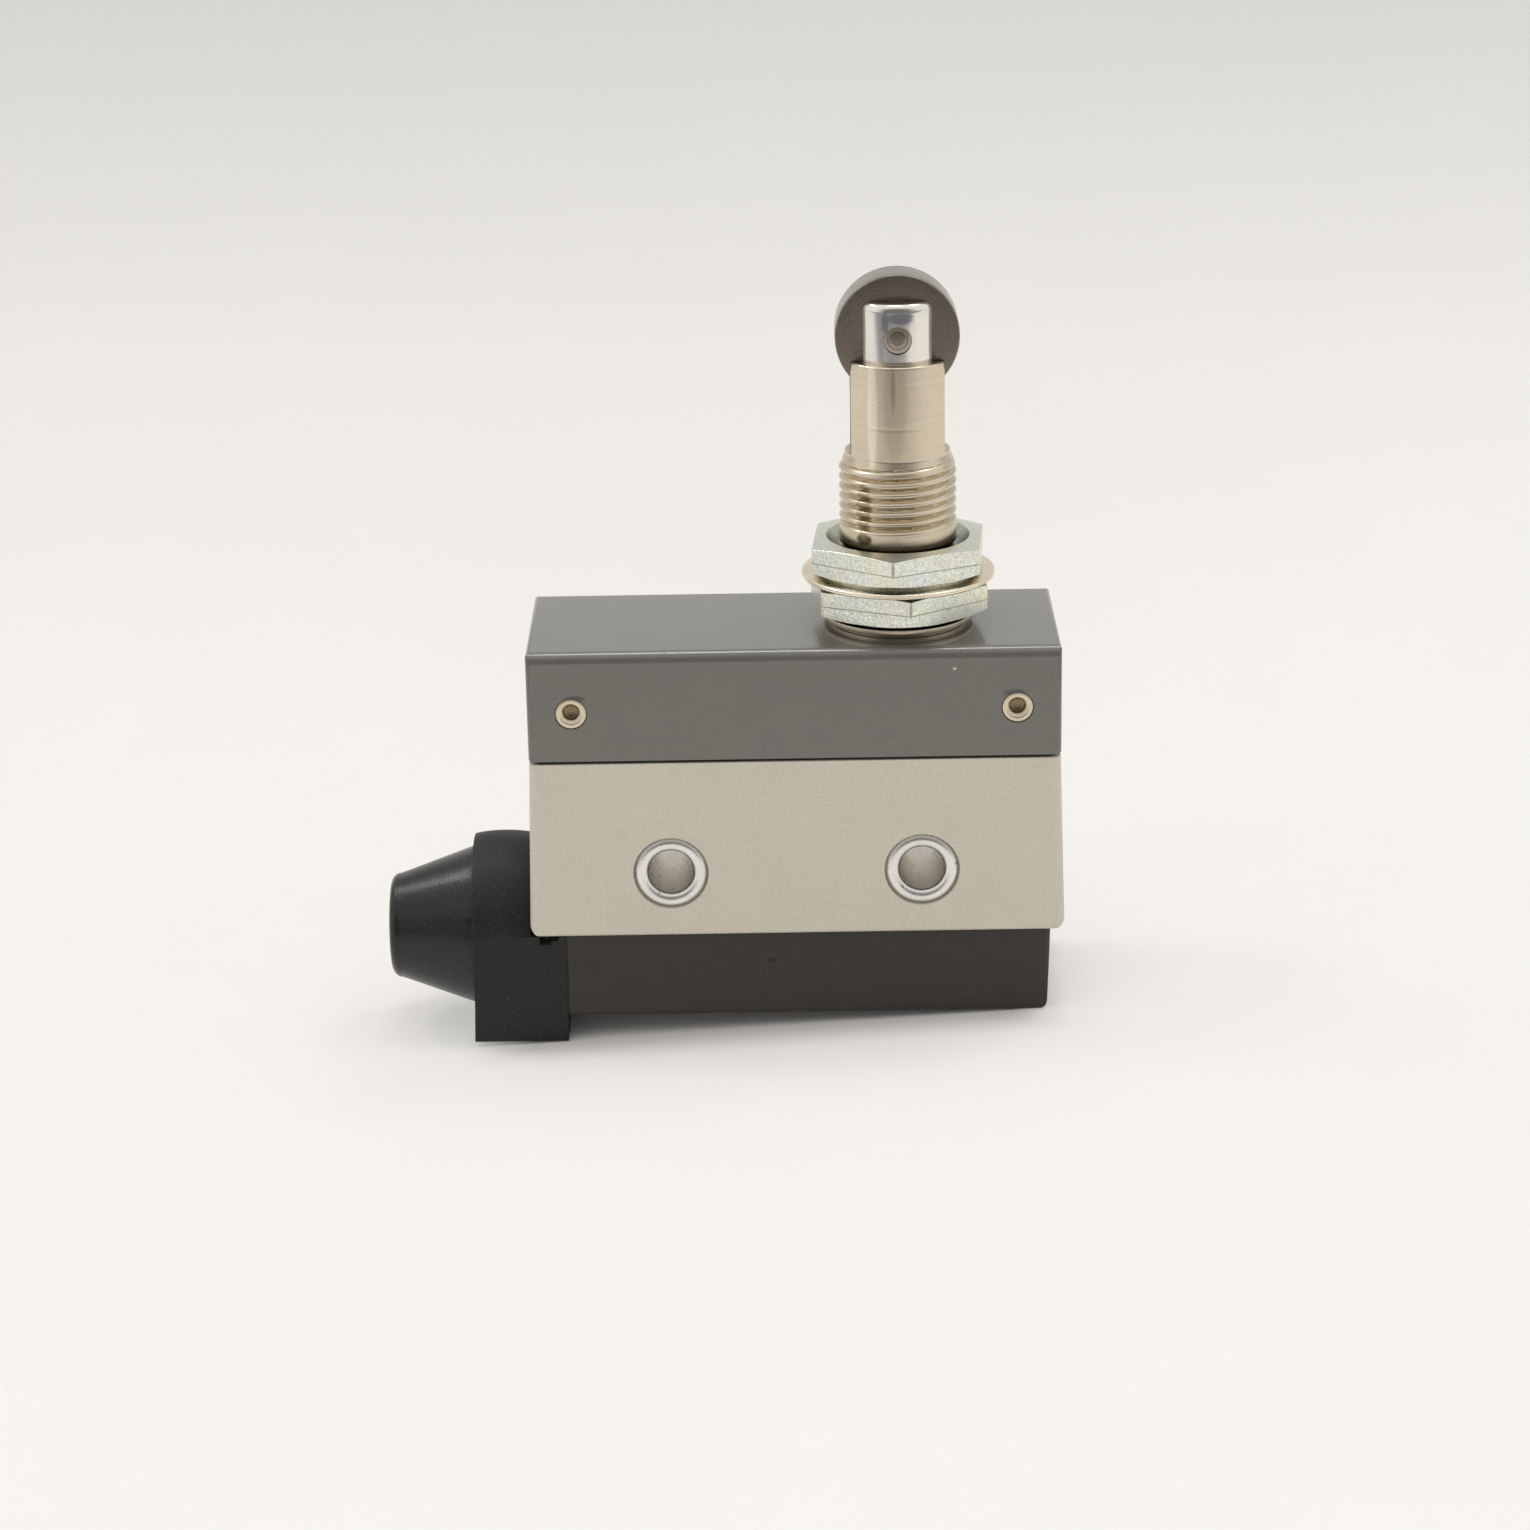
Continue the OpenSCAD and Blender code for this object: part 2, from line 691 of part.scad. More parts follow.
// Crowned arch of the boot beside the housing
module boot_crest(arch_r) {
  half_w = (boot_pocket_x - boot_x0) / 2;
  crown_r = (half_w * half_w + boot_crown * boot_crown) / (2 * boot_crown);
  intersection() {
    translate([boot_x0 + half_w, 0, cable_z])
      rotate([0, 90, 0])
        rotate_extrude()
          intersection() {
            translate([arch_r - crown_r, 0])
              circle(crown_r);
            translate([0, -half_w])
              square([arch_r, 2 * half_w]);
          }
    block([boot_x0, -boot_y, cable_z], [boot_pocket_x, boot_y, cable_z + arch_r]);
  }
}

// Rubber cable boot: a block with a crowned top that wraps the housing's lower corner, a neck and a cone
module cable_boot() {
  arch_r = boot_y + boot_arch;
  pocket_z = body_bottom - boot_gap;
  high = cable_z + arch_r - boot_bottom;
  dish_r = (high * high / 4 + boot_dish * boot_dish) / (2 * boot_dish);
  neck_y = cover_y - cover_wall - slide_fit;
  neck_z0 = cover_bottom + cover_wall + slide_fit;
  neck_z1 = cover_top - slide_fit;
  tip_centre = cone_len - cone_edge_r;
  color([0.07, 0.07, 0.07])
    difference() {
      union() {
        difference() {
          intersection() {
            union() {
              boot_crest(arch_r);
              block([boot_pocket_x - cut, -boot_y, cable_z], [cover_x0, boot_y, pocket_z]);
              along_width(boot_x0, cover_x0)
                translate([0, (boot_bottom + cable_z + boot_edge_r) / 2])
                  rounded_rect([2 * boot_y, cable_z - boot_bottom + boot_edge_r], boot_edge_r);
            }
            translate([(boot_x0 + cover_x0) / 2, 0, cable_z])
              through_depth(2 * boot_y + cut)
                rounded_rect([cover_x0 - boot_x0, 2 * max(boot_drop, arch_r)], boot_edge_r);
          }
          cross_pin(boot_x0 + boot_dish - dish_r, boot_bottom + high / 2, dish_r, 2 * boot_y + cut);
        }
        block([cover_x0 - cut, -neck_y, neck_z0], [cover_x0 + neck_len, neck_y, neck_z1]);
        translate([boot_x0, 0, cable_z])
          rotate([0, -90, 0])
            rotate_extrude() {
              polygon([
                [0, -cut],
                [cone_base_r, -cut],
                [cone_base_r, 0],
                [cone_tip_r, tip_centre],
                [cone_tip_r - cone_edge_r, cone_len],
                [0, cone_len]
              ]);
              translate([cone_tip_r - cone_edge_r, tip_centre])
                circle(cone_edge_r);
            }
      }
      through_depth(body_t) {
        translate([boot_pocket_x + body_corner_r, pocket_z])
          square([boot_reach + body_w, body_h]);
        translate([boot_pocket_x, pocket_z + body_corner_r])
          square([body_w, body_h]);
        translate([boot_pocket_x + body_corner_r, pocket_z + body_corner_r])
          circle(body_corner_r);
      }
      translate([duct_x0, 0, cable_z])
        rotate([0, -90, 0])
          cylinder(h = boot_w + cone_len, r = cable_r);
      block(
        [duct_x0 - cut, -neck_y + duct_wall, neck_z0 + duct_wall],
        [cover_x0 + neck_len + cut, neck_y - duct_wall, neck_z1 - duct_wall]
      );
    }
}

// Eyelet through the housing and the contact block, with a rolled bead at each face
module mounting_eyelet(x) {
  bead_y = face_y - eyelet_sink - eyelet_bead_r;
  color([0.80, 0.80, 0.79])
    turned_in_depth(x, 0) {
      translate([hole_r, -bead_y])
        square([eyelet_wall, 2 * bead_y]);
      for (face = [-1, 1])
        intersection() {
          translate([hole_r + eyelet_bead_r, face * bead_y])
            circle(eyelet_bead_r);
          translate([hole_r, (face - 1) / 2 * eyelet_bead_r + face * bead_y])
            square([2 * eyelet_bead_r, eyelet_bead_r]);
        }
    }
}

module mounting_eyelet_left() {
  mounting_eyelet(-hole_pitch / 2);
}

module mounting_eyelet_right() {
  mounting_eyelet(hole_pitch / 2);
}

// Turned barrel: staked spigot, flange, thread and plain sleeve, slotted for the roller
module plunger_bushing() {
  rim_chamfer = 0.15;
  color([0.74, 0.69, 0.60])
    translate([plunger_x, 0, 0])
      difference() {
        rotate_extrude()
          polygon([
            [stem_r + run_fit, barrel_bottom],
            [stake_r, barrel_bottom],
            [stake_r, ceiling_z],
            [spigot_r, ceiling_z],
            [spigot_r, head_top],
            [flange_foot_r, head_top],
            [flange_foot_r, head_top + flange_foot_h],
            [flange_r, head_top + flange_foot_h],
            [flange_r, flange_top],
            [thread_r, flange_top],
            [thread_r, thread_top],
            [sleeve_r, sleeve_z],
            [sleeve_r, sleeve_top - rim_chamfer],
            [sleeve_r - rim_chamfer, sleeve_top],
            [bore_r, sleeve_top],
            [bore_r, barrel_floor],
            [stem_r + run_fit, barrel_floor]
          ]);
        block(
          [-thread_r - cut, -sleeve_slot_w / 2, slot_bottom],
          [thread_r + cut, sleeve_slot_w / 2, sleeve_top + cut]
        );
      }
}

// Hexagon panel nut with a washer face, chamfered corners and a countersunk thread
module panel_nut(z, turn) {
  corner_r = nut_af / sqrt(3);
  flat_r = nut_af / 2;
  color([0.76, 0.78, 0.76])
    translate([plunger_x, 0, z])
      rotate([0, 0, turn - 90])
        intersection() {
          cylinder(h = nut_t, r = corner_r, $fn = 6);
          rotate_extrude()
            polygon([
              [nut_bore_r, nut_sink],
              [nut_bore_r + nut_sink, 0],
              [nut_face_r, 0],
              [nut_face_r, nut_relief],
              [flat_r, nut_relief],
              [corner_r, nut_relief + nut_chamfer],
              [corner_r, nut_t - nut_crown],
              [nut_face_r, nut_t],
              [nut_bore_r + nut_sink, nut_t],
              [nut_bore_r, nut_t - nut_sink]
            ]);
        }
}

module lower_nut() {
  panel_nut(lower_nut_z, lower_nut_turn);
}

module upper_nut() {
  panel_nut(upper_nut_z, upper_nut_turn);
}

// Plain washer between the nuts
module panel_washer() {
  edge = washer_t / 4;
  inner_r = thread_r + loose_fit;
  color([0.76, 0.71, 0.64])
    translate([plunger_x, 0, washer_z])
      rotate_extrude()
        polygon([
          [inner_r, 0],
          [washer_r - edge, 0],
          [washer_r, edge],
          [washer_r, washer_t - edge],
          [washer_r - edge, washer_t],
          [inner_r, washer_t]
        ]);
}

// Plunger: slotted roller head, seal groove, stem with a blind bore and a retaining ring groove
module plunger() {
  groove_half = o_ring_groove_w / 2;
  ring_groove_r = stem_r - ring_groove;
  color([0.85, 0.86, 0.87])
    translate([plunger_x, 0, 0])
      difference() {
        rotate_extrude() {
          polygon([
            [stem_bore_r, stem_end],
            [stem_r, stem_end],
            [stem_r, ring_z],
            [ring_groove_r, ring_z],
            [ring_groove_r, ring_z + ring_t],
            [stem_r, ring_z + ring_t],
            [stem_r, shoulder_z],
            [plunger_r, shoulder_z],
            [plunger_r, o_ring_z - groove_half],
            [o_ring_groove_r, o_ring_z - groove_half],
            [o_ring_groove_r, o_ring_z + groove_half],
            [plunger_r, o_ring_z + groove_half],
            [plunger_r, ear_top - plunger_edge_r],
            [plunger_r - plunger_edge_r, ear_top],
            [0, ear_top],
            [0, stem_bore_top],
            [stem_bore_r, stem_bore_top]
          ]);
          translate([plunger_r - plunger_edge_r, ear_top - plunger_edge_r])
            circle(plunger_edge_r);
        }
        block(
          [-plunger_r - cut, -roller_slot_w / 2, roller_slot_z],
          [plunger_r + cut, roller_slot_w / 2, ear_top + cut]
        );
        cross_pin(0, roller_z, pin_r, 2 * plunger_r + cut);
        for (face = [-1, 1])
          translate([0, face * plunger_r, roller_z])
            rotate([90, 0, 0])
              cylinder(h = 2 * (pin_head_t + loose_fit), r = pin_head_r, center = true);
      }
}

// Seal ring in the plunger's groove
module plunger_o_ring() {
  color([0.06, 0.06, 0.06])
    translate([plunger_x, 0, o_ring_z])
      rotate_extrude()
        translate([plunger_r - o_ring_wire / 2, 0])
          circle(o_ring_wire / 2);
}

// Open retaining ring on the plunger's stem
module retaining_ring() {
  color([0.55, 0.55, 0.56])
    translate([plunger_x, 0, ring_z])
      linear_extrude(ring_t)
        difference() {
          circle(ring_r);
          circle(stem_r - ring_groove);
          translate([0, -stem_r + ring_groove])
            square([ring_r + cut, 2 * (stem_r - ring_groove)]);
          for (turn = [100, 260])
            rotate(turn)
              translate([stem_r - ring_groove, 0])
                circle(ring_groove + slide_fit);
        }
}

// Roller with bevelled edges
module roller() {
  half_t = roller_t / 2;
  bore = pin_r + run_fit;
  color([0.36, 0.33, 0.31])
    turned_in_depth(plunger_x, roller_z)
      polygon([
        [bore, -half_t],
        [roller_r - roller_bevel, -half_t],
        [roller_r, -half_t + roller_bevel],
        [roller_r, half_t - roller_bevel],
        [roller_r - roller_bevel, half_t],
        [bore, half_t]
      ]);
}

// Roller pin, riveted over at both ends and dimpled
module roller_pin() {
  head_in = plunger_r - pin_head_t - loose_fit;
  head_out = plunger_r - loose_fit;
  color([0.60, 0.56, 0.50])
    turned_in_depth(plunger_x, roller_z)
      difference() {
        union() {
          translate([0, -head_out])
            square([pin_r, 2 * head_out]);
          for (face = [-1, 1])
            translate([0, face * (head_in + head_out) / 2 - pin_head_t / 2])
              square([pin_head_r - run_fit, pin_head_t]);
        }
        for (face = [-1, 1])
          translate([0, face * head_out - pin_head_t / 2])
            square([pin_dimple_r, pin_head_t]);
      }
}

// Spring that lifts the plunger
module return_spring() {
  mean_r = (stem_r + bore_r) / 2;
  color([0.62, 0.63, 0.64])
    translate([plunger_x, 0, barrel_floor])
      coil_spring(mean_r, return_wire, return_turns, shoulder_z - barrel_floor, 16, 8);
}

// Spring in the stem that takes up the travel past the switching point
module overtravel_spring() {
  mean_r = stem_bore_r - over_wire / 2 - slide_fit;
  color([0.62, 0.63, 0.64])
    translate([plunger_x, 0, rod_top])
      coil_spring(mean_r, over_wire, over_turns, stem_bore_top - rod_top, 12, 6);
}

// Pusher that carries the spring's force to the switch pin
module pusher() {
  color([0.80, 0.78, 0.72])
    translate([plunger_x, 0, 0])
      rotate_extrude()
        polygon([
          [0, foot_z],
          [foot_r, foot_z],
          [foot_r, foot_z + foot_t],
          [rod_r, foot_z + foot_t],
          [rod_r, rod_top],
          [0, rod_top]
        ]);
}

// Moulded contact block: chamber above, eyelet holes across, terminal seats below
module switch_base() {
  barrier_h = strip_t + clamp_t + screw_head_h;
  color([0.20, 0.12, 0.08])
    difference() {
      union() {
        block([-base_x, -base_y, base_bottom], [base_x, base_y, lid_z]);
        for (side = [-1, 1])
          translate([side * term_pitch / 2, 0, base_bottom - barrier_h / 2])
            cube([barrier_w, 2 * chamber_y, barrier_h], center = true);
      }
      block([-chamber_x, -chamber_y, floor_z], [chamber_x, chamber_y, lid_z + cut]);
      for (side = [-1, 1])
        cross_pin(side * hole_pitch / 2, 0, base_hole_r, body_t);
      for (place = [-1:1]) {
        translate([place * term_pitch, 0, base_bottom - cut])
          cylinder(h = screw_len + cut, r = screw_r + run_fit);
        block(
          [place * term_pitch - tab_w / 2 - run_fit, riser_y - strip_t - run_fit, base_bottom - cut],
          [place * term_pitch + tab_w / 2 + run_fit, riser_y + run_fit, floor_z + cut]
        );
      }
    }
}

// Lid of the contact block, with a guide for the switch pin
module switch_lid() {
  boss_wall = 1.2;
  boss_r = switch_pin_r + boss_wall;
  boss_h = (pin_rise - switch_travel) / 2;
  color([0.24, 0.15, 0.10])
    difference() {
      union() {
        block([-base_x, -base_y, lid_z], [base_x, base_y, lid_top]);
        translate([plunger_x, 0, lid_z])
          cylinder(h = lid_t + boss_h, r = boss_r);
      }
      translate([plunger_x, 0, lid_z - cut])
        cylinder(h = lid_t + boss_h + 2 * cut, r = switch_pin_r + slide_fit);
    }
}

// Switch pin with a collar under the lid and a round tip on the blade
module switch_pin() {
  collar_lip = 0.7;
  collar_r = switch_pin_r + collar_lip;
  collar_t = 0.7;
  collar_top = lid_z - contact_gap;
  tip_z = blade_z + blade_t + stop_gap;
  color([0.85, 0.82, 0.74])
    translate([plunger_x, 0, 0])
      rotate_extrude() {
        translate([0, tip_z + switch_pin_r])
          square([switch_pin_r, foot_z - tip_z - switch_pin_r]);
        translate([0, collar_top - collar_t])
          square([collar_r, collar_t]);
        intersection() {
          translate([0, tip_z + switch_pin_r])
            circle(switch_pin_r);
          square([switch_pin_r, 2 * foot_z]);
        }
      }
}

// Contact blade: a tail in the post's slot, a window and a bowed snap tongue on a short flat root
module contact_blade() {
  tail_x0 = pivot_x - blade_tail_len;
  main_x0 = pivot_x + blade_tail_len;
  root_x0 = window_x1 - tongue_root;
  bow_x1 = window_x1 - tongue_root / 2;
  chord = bow_x1 - tongue_x0;
  bow_r = chord * chord / (8 * tongue_bow) + tongue_bow / 2;
  half_angle = asin(chord / (2 * bow_r));
  bow_z = blade_z + blade_t / 2 + tongue_bow - bow_r;
  color([0.78, 0.56, 0.30]) {
    difference() {
      union() {
        block([tail_x0, -blade_tail_w / 2, blade_z], [main_x0 + cut, blade_tail_w / 2, blade_z + blade_t]);
        block([main_x0, -blade_w / 2, blade_z], [plate_x1, blade_w / 2, blade_z + blade_t]);
      }
      difference() {
        block(
          [window_x0, -window_w / 2, blade_z - cut],
          [window_x1, window_w / 2, blade_z + blade_t + cut]
        );
        block(
          [root_x0, -tongue_w / 2, blade_z - 2 * cut],
          [window_x1 + cut, tongue_w / 2, blade_z + blade_t + 2 * cut]
        );
      }
      translate([contact_x, 0, blade_z - cut])
        cylinder(h = blade_t + 2 * cut, r = rivet_shank_r);
    }
    translate([(bow_x1 + tongue_x0) / 2, 0, bow_z])
      rotate([90, 0, 0])
        rotate([0, 0, 90 - half_angle])
          rotate_extrude(angle = 2 * half_angle)
            translate([bow_r, -tongue_w / 2])
              square([blade_t, tongue_w]);
  }
}

// Double contact riveted through the blade
module moving_contact() {
  color([0.87, 0.87, 0.86])
    translate([contact_x, 0, 0])
      rotate_extrude() {
        translate([0, blade_z - contact_h])
          square([contact_r, contact_h]);
        translate([0, blade_z - contact_h])
          square([rivet_shank_r, blade_t + 2 * contact_h]);
        translate([0, blade_z + blade_t])
          square([contact_r, contact_h]);
      }
}

// Screw tab under the contact block and riser through it, up to a given height
module terminal_tab(place, top_z) {
  x = place * term_pitch;
  difference() {
    union() {
      block([x - tab_w / 2, -strip_half_y, base_bottom - strip_t], [x + tab_w / 2, riser_y, base_bottom]);
      block([x - tab_w / 2, riser_y - strip_t, base_bottom - strip_t], [x + tab_w / 2, riser_y, top_z]);
    }
    translate([x, 0, base_bottom - strip_t - cut])
      cylinder(h = strip_t + 2 * cut, r = screw_r + run_fit);
  }
}

// Common terminal with the blade's slotted post and the tongue's anchor
module common_terminal() {
  post_rise = 1.2;
  post_top = blade_z + blade_t + post_rise;
  slot_gap = 0.15;
  anchor_x = tongue_x0 - anchor_gap;
  color([0.78, 0.62, 0.32])
    difference() {
      union() {
        terminal_tab(-1, floor_z + strip_t);
        block(
          [pivot_x - strip_t / 2, -strip_half_y, floor_z],
          [-term_pitch + tab_w / 2, riser_y, floor_z + strip_t]
        );
        block(
          [pivot_x - strip_t / 2, -strip_half_y, floor_z],
          [pivot_x + strip_t / 2, strip_half_y, post_top]
        );
        block([anchor_x - strip_t, -tongue_w / 2, floor_z], [anchor_x, tongue_w / 2, blade_z + blade_t]);
      }
      block(
        [pivot_x - strip_t, -blade_tail_w / 2 - slot_gap, blade_z - slot_gap],
        [pivot_x + strip_t, blade_tail_w / 2 + slot_gap, blade_z + blade_t + slot_gap]
      );
    }
}

// Normally closed terminal, carried round the pin to a plate over the blade's tip
module nc_terminal() {
  bar_gap = 1.6;
  bar_y = blade_w / 2 + bar_gap;
  color([0.78, 0.62, 0.32])
    difference() {
      union() {
        terminal_tab(0, nc_strip_z + strip_t);
        block([-tab_w / 2, bar_y, nc_strip_z], [plate_x1, riser_y, nc_strip_z + strip_t]);
        block([plate_x0, -contact_r - plate_margin, nc_strip_z], [plate_x1, riser_y, nc_strip_z + strip_t]);
      }
      translate([contact_x, 0, nc_strip_z - cut])
        cylinder(h = strip_t + 2 * cut, r = rivet_shank_r);
    }
}

// Normally open terminal, carried along the chamber's floor
module no_terminal() {
  color([0.78, 0.62, 0.32])
    difference() {
      union() {
        terminal_tab(1, floor_z + strip_t);
        block([term_pitch - tab_w / 2, -strip_half_y, floor_z], [plate_x1, riser_y, floor_z + strip_t]);
      }
      translate([contact_x, 0, floor_z - cut])
        cylinder(h = strip_t + 2 * cut, r = rivet_shank_r);
    }
}

// Fixed contact riveted into a strip, its face up or down
module fixed_contact(strip_z, face_z) {
  head_z = min(face_z, face_z > strip_z ? strip_z + strip_t : face_z);
  color([0.87, 0.87, 0.86])
    translate([contact_x, 0, 0]) {
      translate([0, 0, head_z])
        cylinder(h = contact_h, r = contact_r);
      translate([0, 0, min(strip_z, face_z)])
        cylinder(h = strip_t + contact_h, r = rivet_shank_r);
    }
}

module nc_contact() {
  fixed_contact(nc_strip_z, nc_face_z);
}

module no_contact() {
  fixed_contact(floor_z, no_face_z);
}

// Slotted terminal screws, driven from below
module terminal_screws() {
  head_z = base_bottom - strip_t - clamp_t;
  slot_w = 0.6;
  color([0.75, 0.74, 0.70])
    for (place = [-1:1])
      translate([place * term_pitch, 0, 0])
        difference() {
          union() {
            translate([0, 0, head_z])
              cylinder(h = screw_len + strip_t + clamp_t - slide_fit, r = screw_r);
            translate([0, 0, head_z - screw_head_h])
              cylinder(h = screw_head_h, r = screw_head_r);
          }
          translate([0, 0, head_z - screw_head_h])
            cube([2 * screw_head_r + cut, slot_w, screw_head_h], center = true);
        }
}

// Square clamp washers under the screw heads
module terminal_washers() {
  color([0.78, 0.76, 0.70])
    for (place = [-1:1])
      translate([place * term_pitch, 0, base_bottom - strip_t - clamp_t])
        linear_extrude(clamp_t)
          difference() {
            square([tab_w, tab_w], center = true);
            circle(screw_r + run_fit);
          }
}

body_housing();
head_cover();
head_gasket();
head_rivets();
terminal_cover();
cover_gasket();
cable_boot();
mounting_eyelet_left();
mounting_eyelet_right();
plunger_bushing();
lower_nut();
upper_nut();
panel_washer();
plunger();
plunger_o_ring();
retaining_ring();
roller();
roller_pin();
return_spring();
overtravel_spring();
pusher();
switch_base();
switch_lid();
switch_pin();
contact_blade();
moving_contact();
common_terminal();
nc_terminal();
no_terminal();
nc_contact();
no_contact();
terminal_screws();
terminal_washers();
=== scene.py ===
"""Looks of a roller plunger limit switch: painted case, turned barrel, panel nuts, plunger and cable boot.

Sizes in the classes are millimetres, and so are the marks. The studio's places and sizes are metres, apart
from the bands on its paper. Meshes are made in metres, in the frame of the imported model.
"""

import logging
import math
from dataclasses import dataclass, replace
from enum import Enum
from functools import cache
from typing import Any, Callable, Sequence

import bmesh
import bpy
from mathutils import Matrix, Vector


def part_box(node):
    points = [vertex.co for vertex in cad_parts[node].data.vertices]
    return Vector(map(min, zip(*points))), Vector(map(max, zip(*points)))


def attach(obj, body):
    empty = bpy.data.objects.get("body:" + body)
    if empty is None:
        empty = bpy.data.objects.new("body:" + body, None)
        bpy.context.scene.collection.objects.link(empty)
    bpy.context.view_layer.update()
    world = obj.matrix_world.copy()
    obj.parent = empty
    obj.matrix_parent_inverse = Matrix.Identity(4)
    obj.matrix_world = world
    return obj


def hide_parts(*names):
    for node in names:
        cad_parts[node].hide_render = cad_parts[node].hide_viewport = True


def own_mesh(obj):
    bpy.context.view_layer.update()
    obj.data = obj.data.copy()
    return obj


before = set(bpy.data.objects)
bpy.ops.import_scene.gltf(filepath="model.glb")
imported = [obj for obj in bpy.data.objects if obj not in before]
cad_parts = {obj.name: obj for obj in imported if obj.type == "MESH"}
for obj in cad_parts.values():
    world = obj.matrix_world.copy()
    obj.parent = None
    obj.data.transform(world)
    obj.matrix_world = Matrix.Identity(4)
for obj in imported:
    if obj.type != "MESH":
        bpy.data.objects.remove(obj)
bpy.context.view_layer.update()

MM = 0.001
TINY = 1e-6
SHARP_DEG = 34.0
EAR_DEG = 30.0
SHELL_DEG = 40.0
SMOOTH_DEG = 60.0
LOG = logging.getLogger("limit_switch")

FLOAT = "NodeSocketFloat"
SPACE = "NodeSocketVector"
VECTOR = ("Vector", SPACE)

Colour = tuple[float, float, float]
Point = tuple[float, float]
Place = tuple[float, float, float]

BLACK: Colour = (0.0, 0.0, 0.0)


class Axis(Enum):
    """Direction that a turned piece spins about."""

    UPRIGHT = "z"
    DEPTH = "y"


class Slot(Enum):
    """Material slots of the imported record."""

    BODY = "body_paint"
    HEAD = "head_paint"
    COVER = "cover_plastic"
    BOOT = "boot_rubber"
    SEAL = "seal_rubber"
    BARREL = "barrel_nickel"
    NUT = "nut_zinc"
    WASHER = "washer_nickel"
    PLUNGER = "plunger_chrome"
    ROLLER = "roller_steel"
    PIN = "pin_steel"
    EYELET = "eyelet_metal"
    RIVET = "rivet_nickel"
    SPRING = "spring_steel"
    PUSHER = "pusher_nylon"
    PHENOLIC = "phenolic"
    BLADE = "blade_copper"
    CONTACT = "contact_silver"
    TERMINAL = "terminal_brass"
    SCREW = "screw_steel"


def low_mm(node: str) -> Vector:
    """Lowest corner of a CAD node, in millimetres."""
    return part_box(node)[0] / MM


def high_mm(node: str) -> Vector:
    """Highest corner of a CAD node, in millimetres."""
    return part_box(node)[1] / MM


def middle_mm(node: str) -> Vector:
    """Middle of a CAD node's box, in millimetres."""
    return (low_mm(node) + high_mm(node)) / 2


